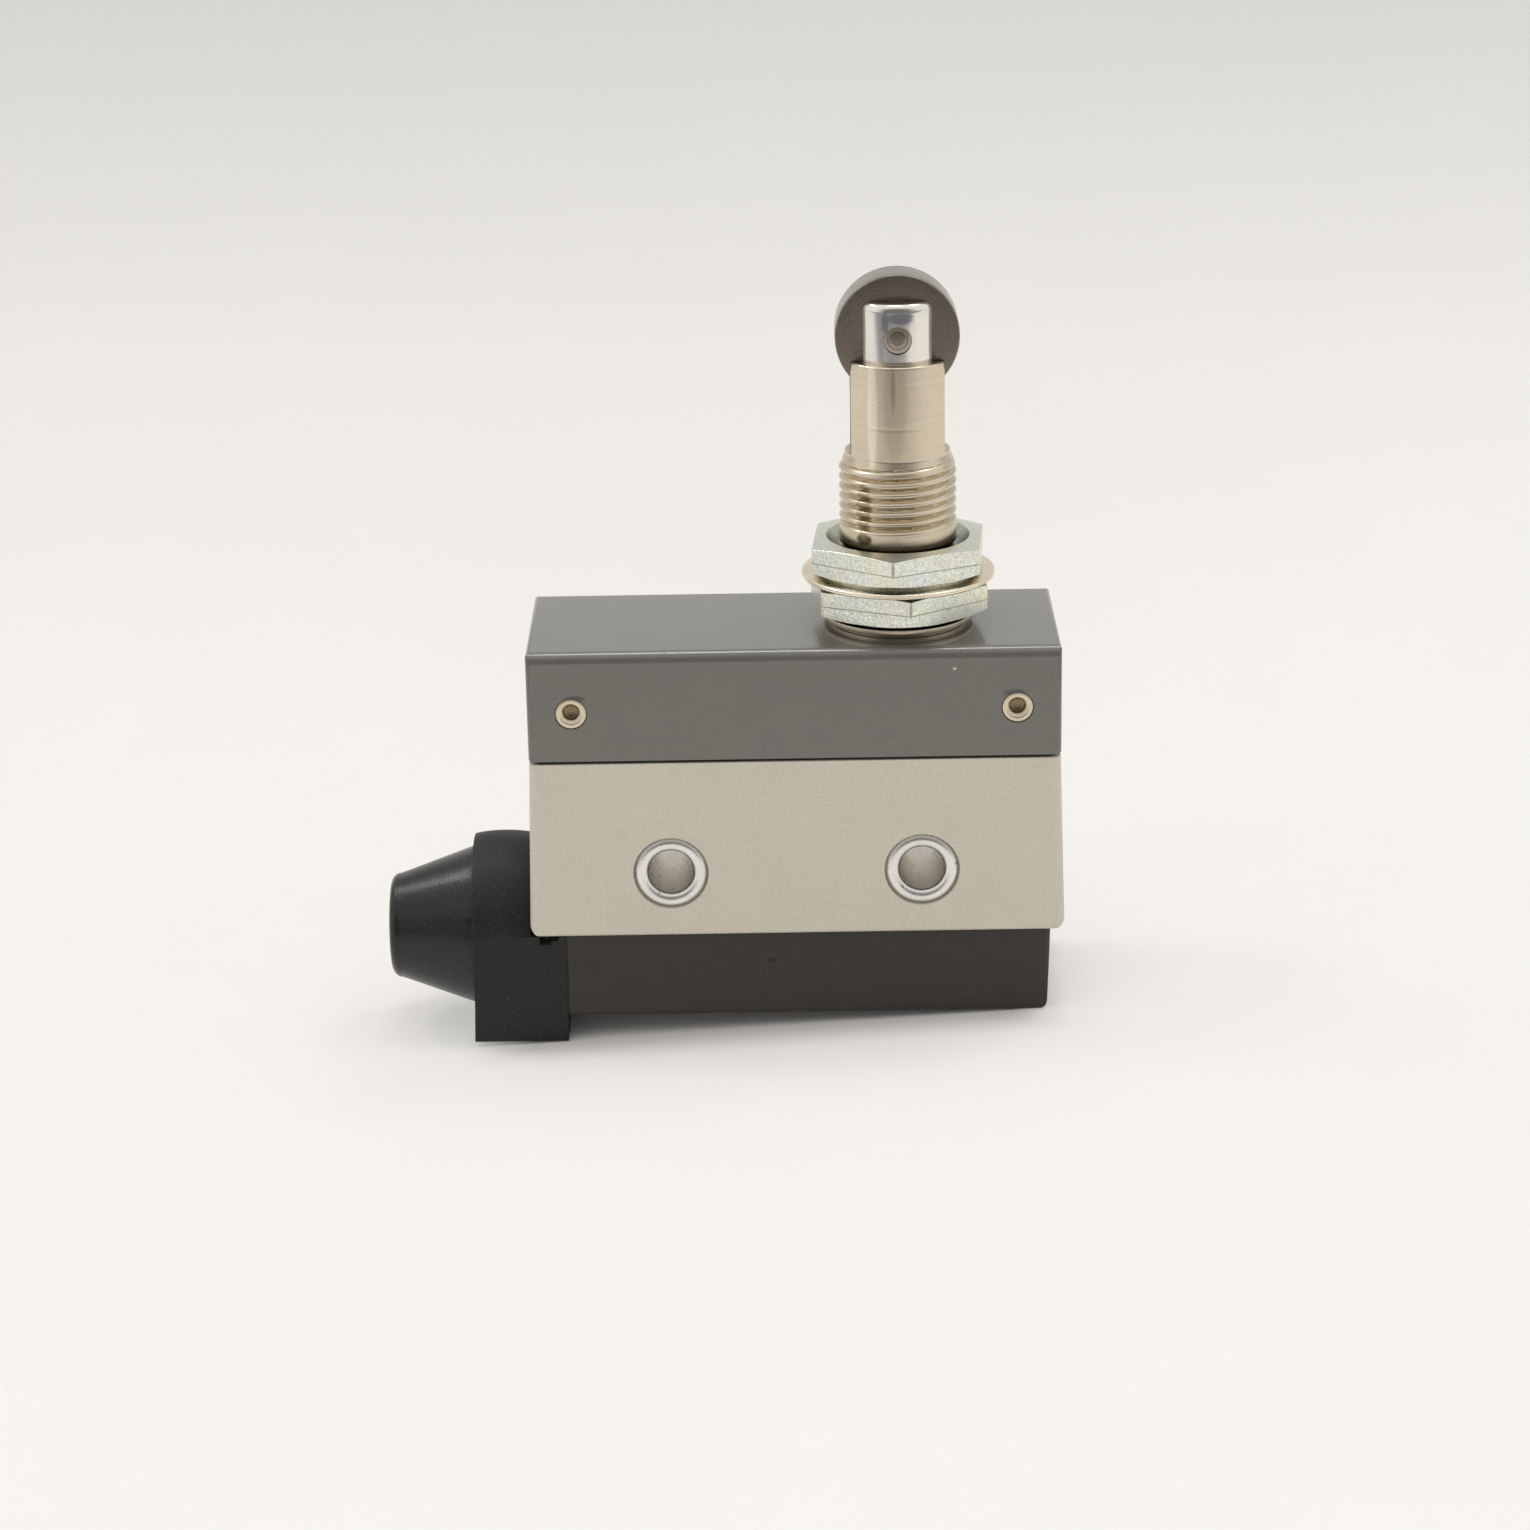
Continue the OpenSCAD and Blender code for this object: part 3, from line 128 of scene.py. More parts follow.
class Nodes:
    """A shader or geometry node tree with short calls for placing and joining nodes."""

    def __init__(self, tree: bpy.types.NodeTree) -> None:
        """Keeps the tree that the calls below add to."""
        self.tree = tree

    def add(self, kind: str, **settings: Any) -> bpy.types.Node:
        """Places a node and sets its options.

        Args:
            kind: Blender's name of the node type.
            settings: Options of the node, by name.

        Returns:
            The new node.
        """
        node = self.tree.nodes.new(kind)
        for name, value in settings.items():
            setattr(node, name, value)
        return node

    def feed(self, socket: bpy.types.NodeSocket, value: Any) -> None:
        """Links a socket to another, or sets its plain value.

        Args:
            socket: Input that is fed.
            value: Output to link, or a plain value.
        """
        if isinstance(value, bpy.types.NodeSocket):
            self.tree.links.new(value, socket)
        else:
            socket.default_value = value

    def math(self, operation: str, a: Any, b: Any = 0.0, clamp: bool = False) -> bpy.types.NodeSocket:
        """Joins two numbers by one operation.

        Args:
            operation: Blender's name of the operation.
            a: First number or socket.
            b: Second number or socket.
            clamp: Whether the result stays between 0 and 1.

        Returns:
            The result's socket.
        """
        node = self.add("ShaderNodeMath", operation=operation, use_clamp=clamp)
        self.feed(node.inputs[0], a)
        self.feed(node.inputs[1], b)
        return node.outputs[0]

    def vector(self, operation: str, a: Any, b: Any) -> bpy.types.Node:
        """Joins two vectors by one operation.

        Args:
            operation: Blender's name of the operation.
            a: First vector or socket.
            b: Second vector or socket.

        Returns:
            The node, whose useful output depends on the operation.
        """
        node = self.add("ShaderNodeVectorMath", operation=operation)
        self.feed(node.inputs[0], a)
        self.feed(node.inputs[1], b)
        return node

    def split(self, vector: Any) -> tuple[bpy.types.NodeSocket, ...]:
        """Parts a vector into its three numbers.

        Args:
            vector: Vector or socket.

        Returns:
            The three numbers' sockets.
        """
        node = self.add("ShaderNodeSeparateXYZ")
        self.feed(node.inputs[0], vector)
        return tuple(node.outputs)

    def join(self, x: Any, y: Any, z: Any) -> bpy.types.NodeSocket:
        """Makes a vector of three numbers.

        Args:
            x: First number or socket.
            y: Second number or socket.
            z: Third number or socket.

        Returns:
            The vector's socket.
        """
        node = self.add("ShaderNodeCombineXYZ")
        for socket, value in zip(node.inputs, (x, y, z)):
            self.feed(socket, value)
        return node.outputs[0]

    def ramp(self, value: Any, low: float, high: float, to_low: float = 0.0, to_high: float = 1.0,
             smooth: bool = False) -> bpy.types.NodeSocket:
        """Carries a number from one range to another, held at the ends.

        Args:
            value: Number or socket.
            low: Value that gives to_low.
            high: Value that gives to_high.
            to_low: First result.
            to_high: Last result.
            smooth: Whether the ends are eased.

        Returns:
            The result's socket.
        """
        kind = "SMOOTHSTEP" if smooth else "LINEAR"
        node = self.add("ShaderNodeMapRange", interpolation_type=kind, clamp=True)
        for name, number in (("Value", value), ("From Min", low), ("From Max", high),
                             ("To Min", to_low), ("To Max", to_high)):
            self.feed(node.inputs[name], number)
        return node.outputs[0]

    def noise(self, vector: Any, scale: Any, detail: float, roughness: float = 0.5) -> bpy.types.NodeSocket:
        """Fractal noise over a vector.

        Args:
            vector: Vector or socket.
            scale: Frequency of its coarsest grain.
            detail: Number of finer layers.
            roughness: Strength of the finer layers.

        Returns:
            The noise's socket, from 0 to 1.
        """
        node = self.add("ShaderNodeTexNoise")
        for name, value in (("Vector", vector), ("Scale", scale), ("Detail", detail),
                            ("Roughness", roughness)):
            self.feed(node.inputs[name], value)
        return node.outputs["Fac"]

    def line_noise(self, along: Any, scale: Any, detail: float) -> bpy.types.NodeSocket:
        """Fractal noise along one number.

        Args:
            along: Number or socket.
            scale: Frequency of its coarsest grain.
            detail: Number of finer layers.

        Returns:
            The noise's socket, from 0 to 1.
        """
        node = self.add("ShaderNodeTexNoise", noise_dimensions="1D")
        for name, value in (("W", along), ("Scale", scale), ("Detail", detail)):
            self.feed(node.inputs[name], value)
        return node.outputs["Fac"]

    def blend(self, share: Any, first: Any, second: Any) -> bpy.types.NodeSocket:
        """Mixes two colours.

        Args:
            share: How much of the second colour shows.
            first: Colour or socket.
            second: Colour or socket.

        Returns:
            The mixed colour's socket.
        """
        node = self.add("ShaderNodeMix", data_type="RGBA", blend_type="MIX", clamp_factor=True)
        share_in, first_in, second_in, mixed_out = 0, 6, 7, 2
        self.feed(node.inputs[share_in], share)
        self.feed(node.inputs[first_in], opaque(first))
        self.feed(node.inputs[second_in], opaque(second))
        return node.outputs[mixed_out]


def opaque(colour: Any) -> Any:
    """Adds alpha to a plain colour.

    Args:
        colour: Plain colour or socket.

    Returns:
        The colour with its alpha, or the socket as it is.
    """
    if isinstance(colour, bpy.types.NodeSocket):
        return colour
    return (*colour, 1.0)


def scaled(colour: Colour, factor: float) -> Colour:
    """A colour made lighter or darker by a factor."""
    return tuple(min(1.0, channel * factor) for channel in colour)


class GroupMaker:
    """Builds each shared shader effect once and hands out the same node group afterwards."""

    tone_span: Point = (0.3, 0.7)

    def start(self, name: str, inputs: Sequence[tuple[str, str]],
              outputs: Sequence[str]) -> tuple[Nodes, Any, Any]:
        """Starts a group with named sockets.

        Args:
            name: Name of the group.
            inputs: Name and socket kind of each input.
            outputs: Names of the outputs, which are all numbers.

        Returns:
            The tree's helper, the input node's outputs and the output node's inputs.
        """
        tree = bpy.data.node_groups.new(name, "ShaderNodeTree")
        for label, kind in inputs:
            tree.interface.new_socket(label, in_out="INPUT", socket_type=kind)
        for label in outputs:
            tree.interface.new_socket(label, in_out="OUTPUT", socket_type=FLOAT)
        nodes = Nodes(tree)
        entry = nodes.add("NodeGroupInput").outputs
        leave = nodes.add("NodeGroupOutput").inputs
        return nodes, entry, leave

    @cache
    def fine_grain(self) -> bpy.types.NodeTree:
        """Fine grain as a height, with a slow drift of tone beside it.

        Returns:
            The node group.
        """
        nodes, entry, leave = self.start("fine_grain", [VECTOR, ("Scale", FLOAT)], ["Height", "Tone"])
        drift_share = 0.06
        fine = nodes.noise(entry["Vector"], entry["Scale"], detail=2.0, roughness=0.6)
        slow = nodes.math("MULTIPLY", entry["Scale"], drift_share)
        drift = nodes.noise(entry["Vector"], slow, detail=3.0, roughness=0.55)
        nodes.feed(leave["Height"], fine)
        nodes.feed(leave["Tone"], nodes.ramp(drift, *self.tone_span))
        return nodes.tree

    @cache
    def specks(self) -> bpy.types.NodeTree:
        """Sparse specks of dust or pigment as a mask.

        Returns:
            The node group.
        """
        nodes, entry, leave = self.start(
            "specks", [VECTOR, ("Cells", FLOAT), ("Size", FLOAT), ("Share", FLOAT)], ["Mask"])
        least_size = 0.25
        edge_gain = 3.0
        cells = nodes.add("ShaderNodeTexVoronoi")
        nodes.feed(cells.inputs["Vector"], entry["Vector"])
        nodes.feed(cells.inputs["Scale"], entry["Cells"])
        pick, grow, _ = nodes.split(cells.outputs["Color"])
        reach = nodes.math("MULTIPLY", entry["Size"], nodes.math("ADD", grow, least_size))
        away = nodes.math("DIVIDE", cells.outputs["Distance"], reach)
        inside = nodes.math("SUBTRACT", 1.0, away, clamp=True)
        solid = nodes.math("MULTIPLY", inside, edge_gain, clamp=True)
        chosen = nodes.math("LESS_THAN", pick, entry["Share"])
        nodes.feed(leave["Mask"], nodes.math("MULTIPLY", solid, chosen))
        return nodes.tree

    @cache
    def turning(self) -> bpy.types.NodeTree:
        """Rings left by a turning tool: a height and a tone that follow the distance along the profile.

        Returns:
            The node group.
        """
        nodes, entry, leave = self.start(
            "turning", [VECTOR, ("Centre", SPACE), ("Upright", FLOAT), ("Lines", FLOAT)], ["Height", "Tone"])
        coarse_share = 0.16
        upright = entry["Upright"]
        x, y, z = nodes.split(nodes.vector("SUBTRACT", entry["Vector"], entry["Centre"]).outputs[0])
        flat = nodes.math("SUBTRACT", 1.0, upright)
        side = nodes.math("ADD", nodes.math("MULTIPLY", y, upright), nodes.math("MULTIPLY", z, flat))
        height = nodes.math("ADD", nodes.math("MULTIPLY", z, upright), nodes.math("MULTIPLY", y, flat))
        square = nodes.math("ADD", nodes.math("POWER", x, 2.0), nodes.math("POWER", side, 2.0))
        along = nodes.math("ADD", nodes.math("SQRT", square), height)
        fine = nodes.line_noise(along, entry["Lines"], detail=4.0)
        wide = nodes.math("MULTIPLY", entry["Lines"], coarse_share)
        coarse = nodes.line_noise(along, wide, detail=2.0)
        nodes.feed(leave["Height"], fine)
        nodes.feed(leave["Tone"], nodes.ramp(coarse, *self.tone_span))
        return nodes.tree

    @cache
    def spot(self) -> bpy.types.NodeTree:
        """One ragged spot, such as a chip or a stain, as a mask.

        Returns:
            The node group.
        """
        nodes, entry, leave = self.start("spot", [VECTOR, ("Centre", SPACE), ("Reach", SPACE)], ["Mask"])
        ragged = 0.5
        ragged_scale = 9.0
        full, gone = 0.75, 1.15
        away = nodes.vector("SUBTRACT", entry["Vector"], entry["Centre"]).outputs[0]
        share = nodes.vector("DIVIDE", away, entry["Reach"]).outputs[0]
        length = nodes.add("ShaderNodeVectorMath", operation="LENGTH")
        nodes.feed(length.inputs[0], share)
        edge = nodes.noise(entry["Vector"], ragged_scale, detail=3.0)
        bent = nodes.math("ADD", length.outputs["Value"], nodes.math("MULTIPLY", edge, ragged))
        nodes.feed(leave["Mask"], nodes.ramp(bent, full, gone, 1.0, 0.0, smooth=True))
        return nodes.tree


GROUPS = GroupMaker()


@dataclass(frozen=True)
class Spot:
    """A ragged mark at one place on a surface."""

    centre: Place
    reach: Place
    colour: Colour


class Shader(Nodes):
    """A material's node tree, with its surface shader and the shared effects close at hand."""

    def __init__(self, name: str) -> None:
        """Starts a material with a bare surface shader.

        Args:
            name: Name of the slot or the stage surface that it finishes.
        """
        self.material = bpy.data.materials.new(name + "_finish")
        self.material.use_nodes = True
        super().__init__(self.material.node_tree)
        self.tree.nodes.clear()
        self.surface = self.add("ShaderNodeBsdfPrincipled")
        output = self.add("ShaderNodeOutputMaterial")
        self.feed(output.inputs["Surface"], self.surface.outputs[0])
        coordinates = self.add("ShaderNodeTexCoord")
        self.place = self.vector("MULTIPLY", coordinates.outputs["Object"], (1 / MM,) * 3).outputs[0]

    def effect(self, tree: bpy.types.NodeTree, **inputs: Any) -> Any:
        """Places a shared effect on this piece's own millimetres.

        Args:
            tree: The effect's node group.
            inputs: Values of its inputs, by name.

        Returns:
            The group node's outputs.
        """
        node = self.add("ShaderNodeGroup", node_tree=tree)
        self.feed(node.inputs["Vector"], self.place)
        for name, value in inputs.items():
            self.feed(node.inputs[name], value)
        return node.outputs

    def marked(self, colour: Any, marks: Sequence[Spot]) -> Any:
        """Lays ragged marks over a colour.

        Args:
            colour: Colour or socket below the marks.
            marks: The marks, from the lowest to the topmost.

        Returns:
            The marked colour's socket.
        """
        for mark in marks:
            mask = self.effect(GROUPS.spot(), Centre=mark.centre, Reach=mark.reach)["Mask"]
            colour = self.blend(mask, colour, mark.colour)
        return colour

    def drifted(self, tone: bpy.types.NodeSocket, colour: Colour, drift: float) -> bpy.types.NodeSocket:
        """A colour that wanders with a tone, as far below its value as above it."""
        return self.blend(tone, scaled(colour, 1 - drift), scaled(colour, 1 + drift))

    def spread(self, tone: bpy.types.NodeSocket, value: float, factors: Point,
               span: Point = (0.0, 1.0)) -> bpy.types.NodeSocket:
        """A value that wanders with a tone.

        Args:
            tone: Tone that it follows.
            value: The plain value.
            factors: Least and greatest share of that value.
            span: Tones that give these.

        Returns:
            The wandering value's socket.
        """
        least, most = factors
        return self.ramp(tone, *span, value * least, value * most)

    def set(self, **values: Any) -> None:
        """Sets or links inputs of the surface shader; an underscore stands for a space."""
        for name, value in values.items():
            self.feed(self.surface.inputs[name.replace("_", " ")], value)

    def bump(self, height: bpy.types.NodeSocket, depth: float, strength: float,
             under: bpy.types.NodeSocket | None = None) -> bpy.types.NodeSocket:
        """Bends the surface's normal by a height.

        Args:
            height: Height from 0 to 1.
            depth: Height of 1 in millimetres.
            strength: Share of the effect.
            under: Normal that this bump lies on.

        Returns:
            The bent normal.
        """
        node = self.add("ShaderNodeBump")
        self.feed(node.inputs["Strength"], strength)
        self.feed(node.inputs["Distance"], depth * MM)
        self.feed(node.inputs["Height"], height)
        if under is not None:
            self.feed(node.inputs["Normal"], under)
        return node.outputs[0]


@dataclass(frozen=True)
class Enamel:
    """Baked enamel on die-cast metal, with orange peel, pigment specks, small chips and painted shadows."""

    slot: Slot
    colour: Colour
    roughness: float
    peel_depth: float
    peel_scale: float = 3.2
    peel_strength: float = 0.6
    drift: float = 0.05
    fine: float = 0.34
    fine_span: Point = (0.25, 0.75)
    fine_tone: float = 0.62
    speck_share: float = 0.10
    speck_cells: float = 2.6
    speck_size: float = 0.28
    speck_colour: Colour = (0.02, 0.02, 0.02)
    speck_strength: float = 0.35
    gloss: float = 0.5
    coat: float = 0.0
    coat_roughness: float = 0.14
    rough_factors: Point = (0.92, 1.1)
    marks: tuple[Spot, ...] = ()

    def material(self) -> bpy.types.Material:
        """Builds the paint's material.

        Returns:
            The material.
        """
        shader = Shader(self.slot.value)
        grain = shader.effect(GROUPS.fine_grain(), Scale=self.peel_scale)
        dots = shader.effect(
            GROUPS.specks(), Cells=self.speck_cells, Size=self.speck_size, Share=self.speck_share)["Mask"]
        colour = shader.drifted(grain["Tone"], self.colour, self.drift)
        fine = shader.ramp(grain["Height"], *self.fine_span, 0.0, self.fine)
        colour = shader.blend(fine, colour, scaled(self.colour, self.fine_tone))
        colour = shader.blend(shader.math("MULTIPLY", dots, self.speck_strength), colour, self.speck_colour)
        shader.set(
            Base_Color=shader.marked(colour, self.marks),
            Roughness=shader.spread(grain["Tone"], self.roughness, self.rough_factors),
            Normal=shader.bump(grain["Height"], self.peel_depth, self.peel_strength),
            Coat_Weight=self.coat,
            Coat_Roughness=self.coat_roughness,
            Specular_IOR_Level=self.gloss,
        )
        return shader.material


@dataclass(frozen=True)
class Moulding:
    """Moulded plastic or rubber: fine grain, light dust and a broad soft gloss."""

    slot: Slot
    colour: Colour
    roughness: float
    grain_depth: float
    grain_scale: float = 4.0
    relief_strength: float = 0.7
    dust_share: float = 0.08
    dust_cells: float = 4.2
    dust_size: float = 0.21
    dust_colour: Colour = (0.40, 0.38, 0.34)
    dust_strength: float = 0.5
    drift: float = 0.12
    gloss: float = 0.5
    ring_depth: float = 0.0
    ring_lines: float = 5.0
    polish: float = 1.0
    polish_x: float = 0.0
    polish_fade: float = 0.3
    rough_factors: Point = (0.88, 1.1)
    marks: tuple[Spot, ...] = ()

    def material(self) -> bpy.types.Material:
        """Builds the moulding's material, which is polished on the left of polish_x.

        Returns:
            The material.
        """
        shader = Shader(self.slot.value)
        grain = shader.effect(GROUPS.fine_grain(), Scale=self.grain_scale)
        dust = shader.effect(
            GROUPS.specks(), Cells=self.dust_cells, Size=self.dust_size, Share=self.dust_share)["Mask"]
        colour = shader.drifted(grain["Tone"], self.colour, self.drift)
        colour = shader.blend(shader.math("MULTIPLY", dust, self.dust_strength), colour, self.dust_colour)
        rough = shader.spread(grain["Tone"], self.roughness, self.rough_factors)
        along = shader.split(shader.place)[0]
        polish = shader.ramp(
            along, self.polish_x - self.polish_fade, self.polish_x + self.polish_fade, self.polish, 1.0)
        shader.set(
            Base_Color=shader.marked(colour, self.marks),
            Roughness=shader.math("MULTIPLY", rough, polish),
            Normal=self.relief(shader, grain["Height"], along),
            Specular_IOR_Level=self.gloss,
        )
        return shader.material

    def relief(self, shader: Shader, grain: bpy.types.NodeSocket,
               along: bpy.types.NodeSocket) -> bpy.types.NodeSocket:
        """Bends the normal by the grain, and by rings along X where the mould was turned.

        Args:
            shader: The material's shader.
            grain: Height of the grain.
            along: Place along X.

        Returns:
            The bent normal.
        """
        normal = shader.bump(grain, self.grain_depth, self.relief_strength)
        if self.ring_depth > 0:
            rings = shader.line_noise(along, self.ring_lines, detail=4.0)
            normal = shader.bump(rings, self.ring_depth, self.relief_strength, normal)
        return normal


@dataclass(frozen=True)
class TurnedMetal:
    """Metal turned on a lathe: rings round its axis, a drift of colour, small stains and marks; on the
    barrel, plunger and pin the marks are painted reflections and shade.
    """

    slot: Slot
    colour: Colour
    dark: Colour
    roughness: float
    ring_depth: float
    centre: Place
    axis: Axis
    lines: float
    stain: float
    stain_scale: float = 6.0
    ring_tone: float = 0.35
    ring_strength: float = 0.7
    rough_span: Point = (0.2, 0.8)
    rough_factors: Point = (0.75, 1.3)
    marks: tuple[Spot, ...] = ()

    def material(self) -> bpy.types.Material:
        """Builds the turned metal's material.

        Returns:
            The material.
        """
        shader = Shader(self.slot.value)
        upright = 1.0 if self.axis is Axis.UPRIGHT else 0.0
        rings = shader.effect(GROUPS.turning(), Centre=self.centre, Upright=upright, Lines=self.lines)
        grain = shader.effect(GROUPS.fine_grain(), Scale=self.stain_scale)
        colour = shader.blend(shader.math("MULTIPLY", rings["Tone"], self.ring_tone), self.colour, self.dark)
        colour = shader.blend(shader.math("MULTIPLY", grain["Tone"], self.stain), colour, self.dark)
        shader.set(
            Base_Color=shader.marked(colour, self.marks),
            Metallic=1.0,
            Roughness=shader.spread(rings["Height"], self.roughness, self.rough_factors, self.rough_span),
            Normal=shader.bump(rings["Height"], self.ring_depth, self.ring_strength),
        )
        return shader.material


@dataclass(frozen=True)
class PlatedMetal:
    """Stamped or drawn metal with a plated skin: mottling, small dents, and bloom, pits or painted shade in a
    round mouth.
    """

    slot: Slot
    colour: Colour
    tint: Colour
    roughness: float
    dent_depth: float = 0.006
    dent_strength: float = 0.5
    mottle_scale: float = 5.0
    tint_share: float = 0.6
    bloom: Colour | None = None
    bloom_scale: float = 2.3
    bloom_share: float = 0.6
    fleck_span: Point = (0.38, 0.68)
    fleck_share: float = 0.7
    fleck_tone: float = 0.56
    pit_share: float = 0.0
    pit_cells: float = 1.5
    pit_size: float = 0.3
    pit_strength: float = 0.7
    pit_tone: float = 0.25
    mouth: Point | None = None
    mouth_edge: float = 0.08
    mouth_depth: Point = (-0.5, 2.6)
    mouth_back: float = 0.2
    mouth_shade_tone: float = 0.07
    rough_span: Point = (0.3, 0.7)
    rough_factors: Point = (0.8, 1.25)
    marks: tuple[Spot, ...] = ()

    def material(self) -> bpy.types.Material:
        """Builds the plated metal's material.

        Returns:
            The material.
        """
        shader = Shader(self.slot.value)
        grain = shader.effect(GROUPS.fine_grain(), Scale=self.mottle_scale)
        colour = shader.blend(shader.math("MULTIPLY", grain["Tone"], self.tint_share), self.colour, self.tint)
        if self.bloom is not None:
            cloud = shader.effect(GROUPS.fine_grain(), Scale=self.mottle_scale * self.bloom_scale)
            bloom = shader.math("MULTIPLY", cloud["Tone"], self.bloom_share)
            colour = shader.blend(bloom, colour, self.bloom)
            flecks = shader.ramp(grain["Height"], *self.fleck_span, 0.0, self.fleck_share)
            colour = shader.blend(flecks, colour, scaled(self.tint, self.fleck_tone))
        colour = shader.marked(colour, self.marks)
        if self.mouth is not None:
            inside = self.inside(shader, *self.mouth)
            colour = shader.blend(inside, colour, scaled(self.tint, self.mouth_shade_tone))
        if self.pit_share > 0:
            pits = shader.effect(
                GROUPS.specks(), Cells=self.pit_cells, Size=self.pit_size, Share=self.pit_share)["Mask"]
            shown = shader.math("MULTIPLY", pits, self.pit_strength)
            colour = shader.blend(shown, colour, scaled(self.tint, self.pit_tone))
        shader.set(
            Base_Color=colour,
            Metallic=1.0,
            Roughness=shader.spread(grain["Height"], self.roughness, self.rough_factors, self.rough_span),
            Normal=shader.bump(grain["Height"], self.dent_depth, self.dent_strength),
        )
        return shader.material

    def inside(self, shader: Shader, axis_x: float, radius: float) -> bpy.types.NodeSocket:
        """Masks the inside of a round mouth for painted shade, less so towards the back.

        Args:
            shader: The material's shader.
            axis_x: Place of the mouth's upright axis along X.
            radius: Radius of the mouth.

        Returns:
            The mask's socket.
        """
        x, y, _ = shader.split(shader.place)
        away = shader.vector("DISTANCE", shader.join(x, y, 0.0), (axis_x, 0.0, 0.0)).outputs["Value"]
        front = shader.ramp(y, *self.mouth_depth, 1.0, self.mouth_back)
        within = shader.ramp(away, radius - self.mouth_edge, radius, 1.0, 0.0)
        return shader.math("MULTIPLY", within, front)


def corner_arc(before: Point, corner: Point, after: Point, radius: float, steps: int) -> list[Point]:
    """Rounds one corner of an outline.

    Args:
        before: Point before the corner.
        corner: The corner.
        after: Point after the corner.
        radius: How far the rounding reaches along each side, at most.
        steps: Number of short sides in the rounding.

    Returns:
        The points that replace the corner.
    """
    side_share = 0.45
    middle = Vector(corner)
    first, last = Vector(before) - middle, Vector(after) - middle
    reach = min(radius, side_share * first.length, side_share * last.length)
    if reach < TINY:
        return [corner]
    start, end = middle + first.normalized() * reach, middle + last.normalized() * reach
    points = []
    for step in range(steps + 1):
        t = step / steps
        points.append(tuple(start * (1 - t) ** 2 + middle * 2 * t * (1 - t) + end * t * t))
    return points


def eased(outline: Sequence[Point], radius: float, steps: int = 3, closed: bool = True) -> list[Point]:
    """Rounds every corner of an outline that doesn't lie on the axis.

    Args:
        outline: Corners as radius and height.
        radius: How far each rounding reaches.
        steps: Number of short sides in a rounding.
        closed: Whether the last corner joins the first; the ends of an open outline stay as they are.

    Returns:
        The rounded outline.
    """
    points: list[Point] = []
    count = len(outline)
    for i, corner in enumerate(outline):
        if corner[0] < TINY or (not closed and i in (0, count - 1)):
            points.append(corner)
        else:
            points.extend(corner_arc(outline[i - 1], corner, outline[(i + 1) % count], radius, steps))
    return points


def mirrored(points: Sequence[Point]) -> list[Point]:
    """The same points at the opposite depth, in reverse order."""
    return [(r, -h) for r, h in reversed(points)]


def close_mesh(bm: bmesh.types.BMesh, name: str, sharp_deg: float = SHARP_DEG) -> bpy.types.Mesh:
    """Merges doubles, turns the faces outwards and shades smooth between sharp edges.

    Args:
        bm: The shape, which is freed.
        name: Name of the new mesh.
        sharp_deg: Edges bent more than this stay sharp.

    Returns:
        The finished mesh.
    """
    merge = 1e-7
    bmesh.ops.remove_doubles(bm, verts=bm.verts[:], dist=merge)
    bmesh.ops.recalc_face_normals(bm, faces=bm.faces[:])
    mesh = bpy.data.meshes.new(name)
    bm.to_mesh(mesh)
    bm.free()
    shade(mesh, sharp_deg)
    return mesh


def shade(mesh: bpy.types.Mesh, sharp_deg: float) -> None:
    """Shades a mesh smooth, apart from its sharp edges.

    Args:
        mesh: The mesh.
        sharp_deg: Edges bent more than this stay sharp.
    """
    for polygon in mesh.polygons:
        polygon.use_smooth = True
    mesh.set_sharp_from_angle(angle=math.radians(sharp_deg))


def lofted_mesh(name: str, sections: Sequence[Sequence[Vector]], sharp_deg: float) -> bpy.types.Mesh:
    """Joins sections that stand round an axis, each to the next and the last to the first.

    Args:
        name: Name of the mesh.
        sections: Points of each closed section in millimetres, as many in each.
        sharp_deg: Edges bent more than this stay sharp.

    Returns:
        The closed mesh.
    """
    bm = bmesh.new()
    rings = [[bm.verts.new(point * MM) for point in section] for section in sections]
    for here, there in zip(rings, [*rings[1:], rings[0]]):
        for i in range(len(here)):
            j = (i + 1) % len(here)
            if here[i].co != there[i].co or here[j].co != there[j].co:
                bm.faces.new((here[i], there[i], there[j], here[j]))
    return close_mesh(bm, name, sharp_deg)


def turned_mesh(name: str, outline: Sequence[Point], centre: Place, axis: Axis,
                columns: int) -> bpy.types.Mesh:
    """Spins a closed outline about an axis.

    Args:
        name: Name of the mesh.
        outline: Corners as radius and height, in millimetres.
        centre: Point of the axis that heights are counted from, in millimetres.
        axis: Direction of the axis.
        columns: Number of steps round the axis.

    Returns:
        The closed mesh.
    """
    middle = Vector(centre)
    sections = []
    for k in range(columns):
        angle = 2 * math.pi * k / columns
        cos, sin = math.cos(angle), math.sin(angle)
        if axis is Axis.UPRIGHT:
            sections.append([middle + Vector((r * cos, r * sin, h)) for r, h in outline])
        else:
            sections.append([middle + Vector((r * cos, h, r * sin)) for r, h in outline])
    return lofted_mesh(name, sections, SHARP_DEG)


def block_mesh(name: str, low: Place, high: Place) -> bpy.types.Mesh:
    """Makes a box for cutting.

    Args:
        name: Name of the mesh.
        low: Its lowest corner, in millimetres.
        high: Its highest corner, in millimetres.

    Returns:
        The box.
    """
    bm = bmesh.new()
    size = Vector(high) - Vector(low)
    middle = (Vector(high) + Vector(low)) / 2
    matrix = Matrix.Translation(middle * MM) @ Matrix.Diagonal((*(size * MM), 1.0))
    bmesh.ops.create_cube(bm, size=1.0, matrix=matrix)
    return close_mesh(bm, name)


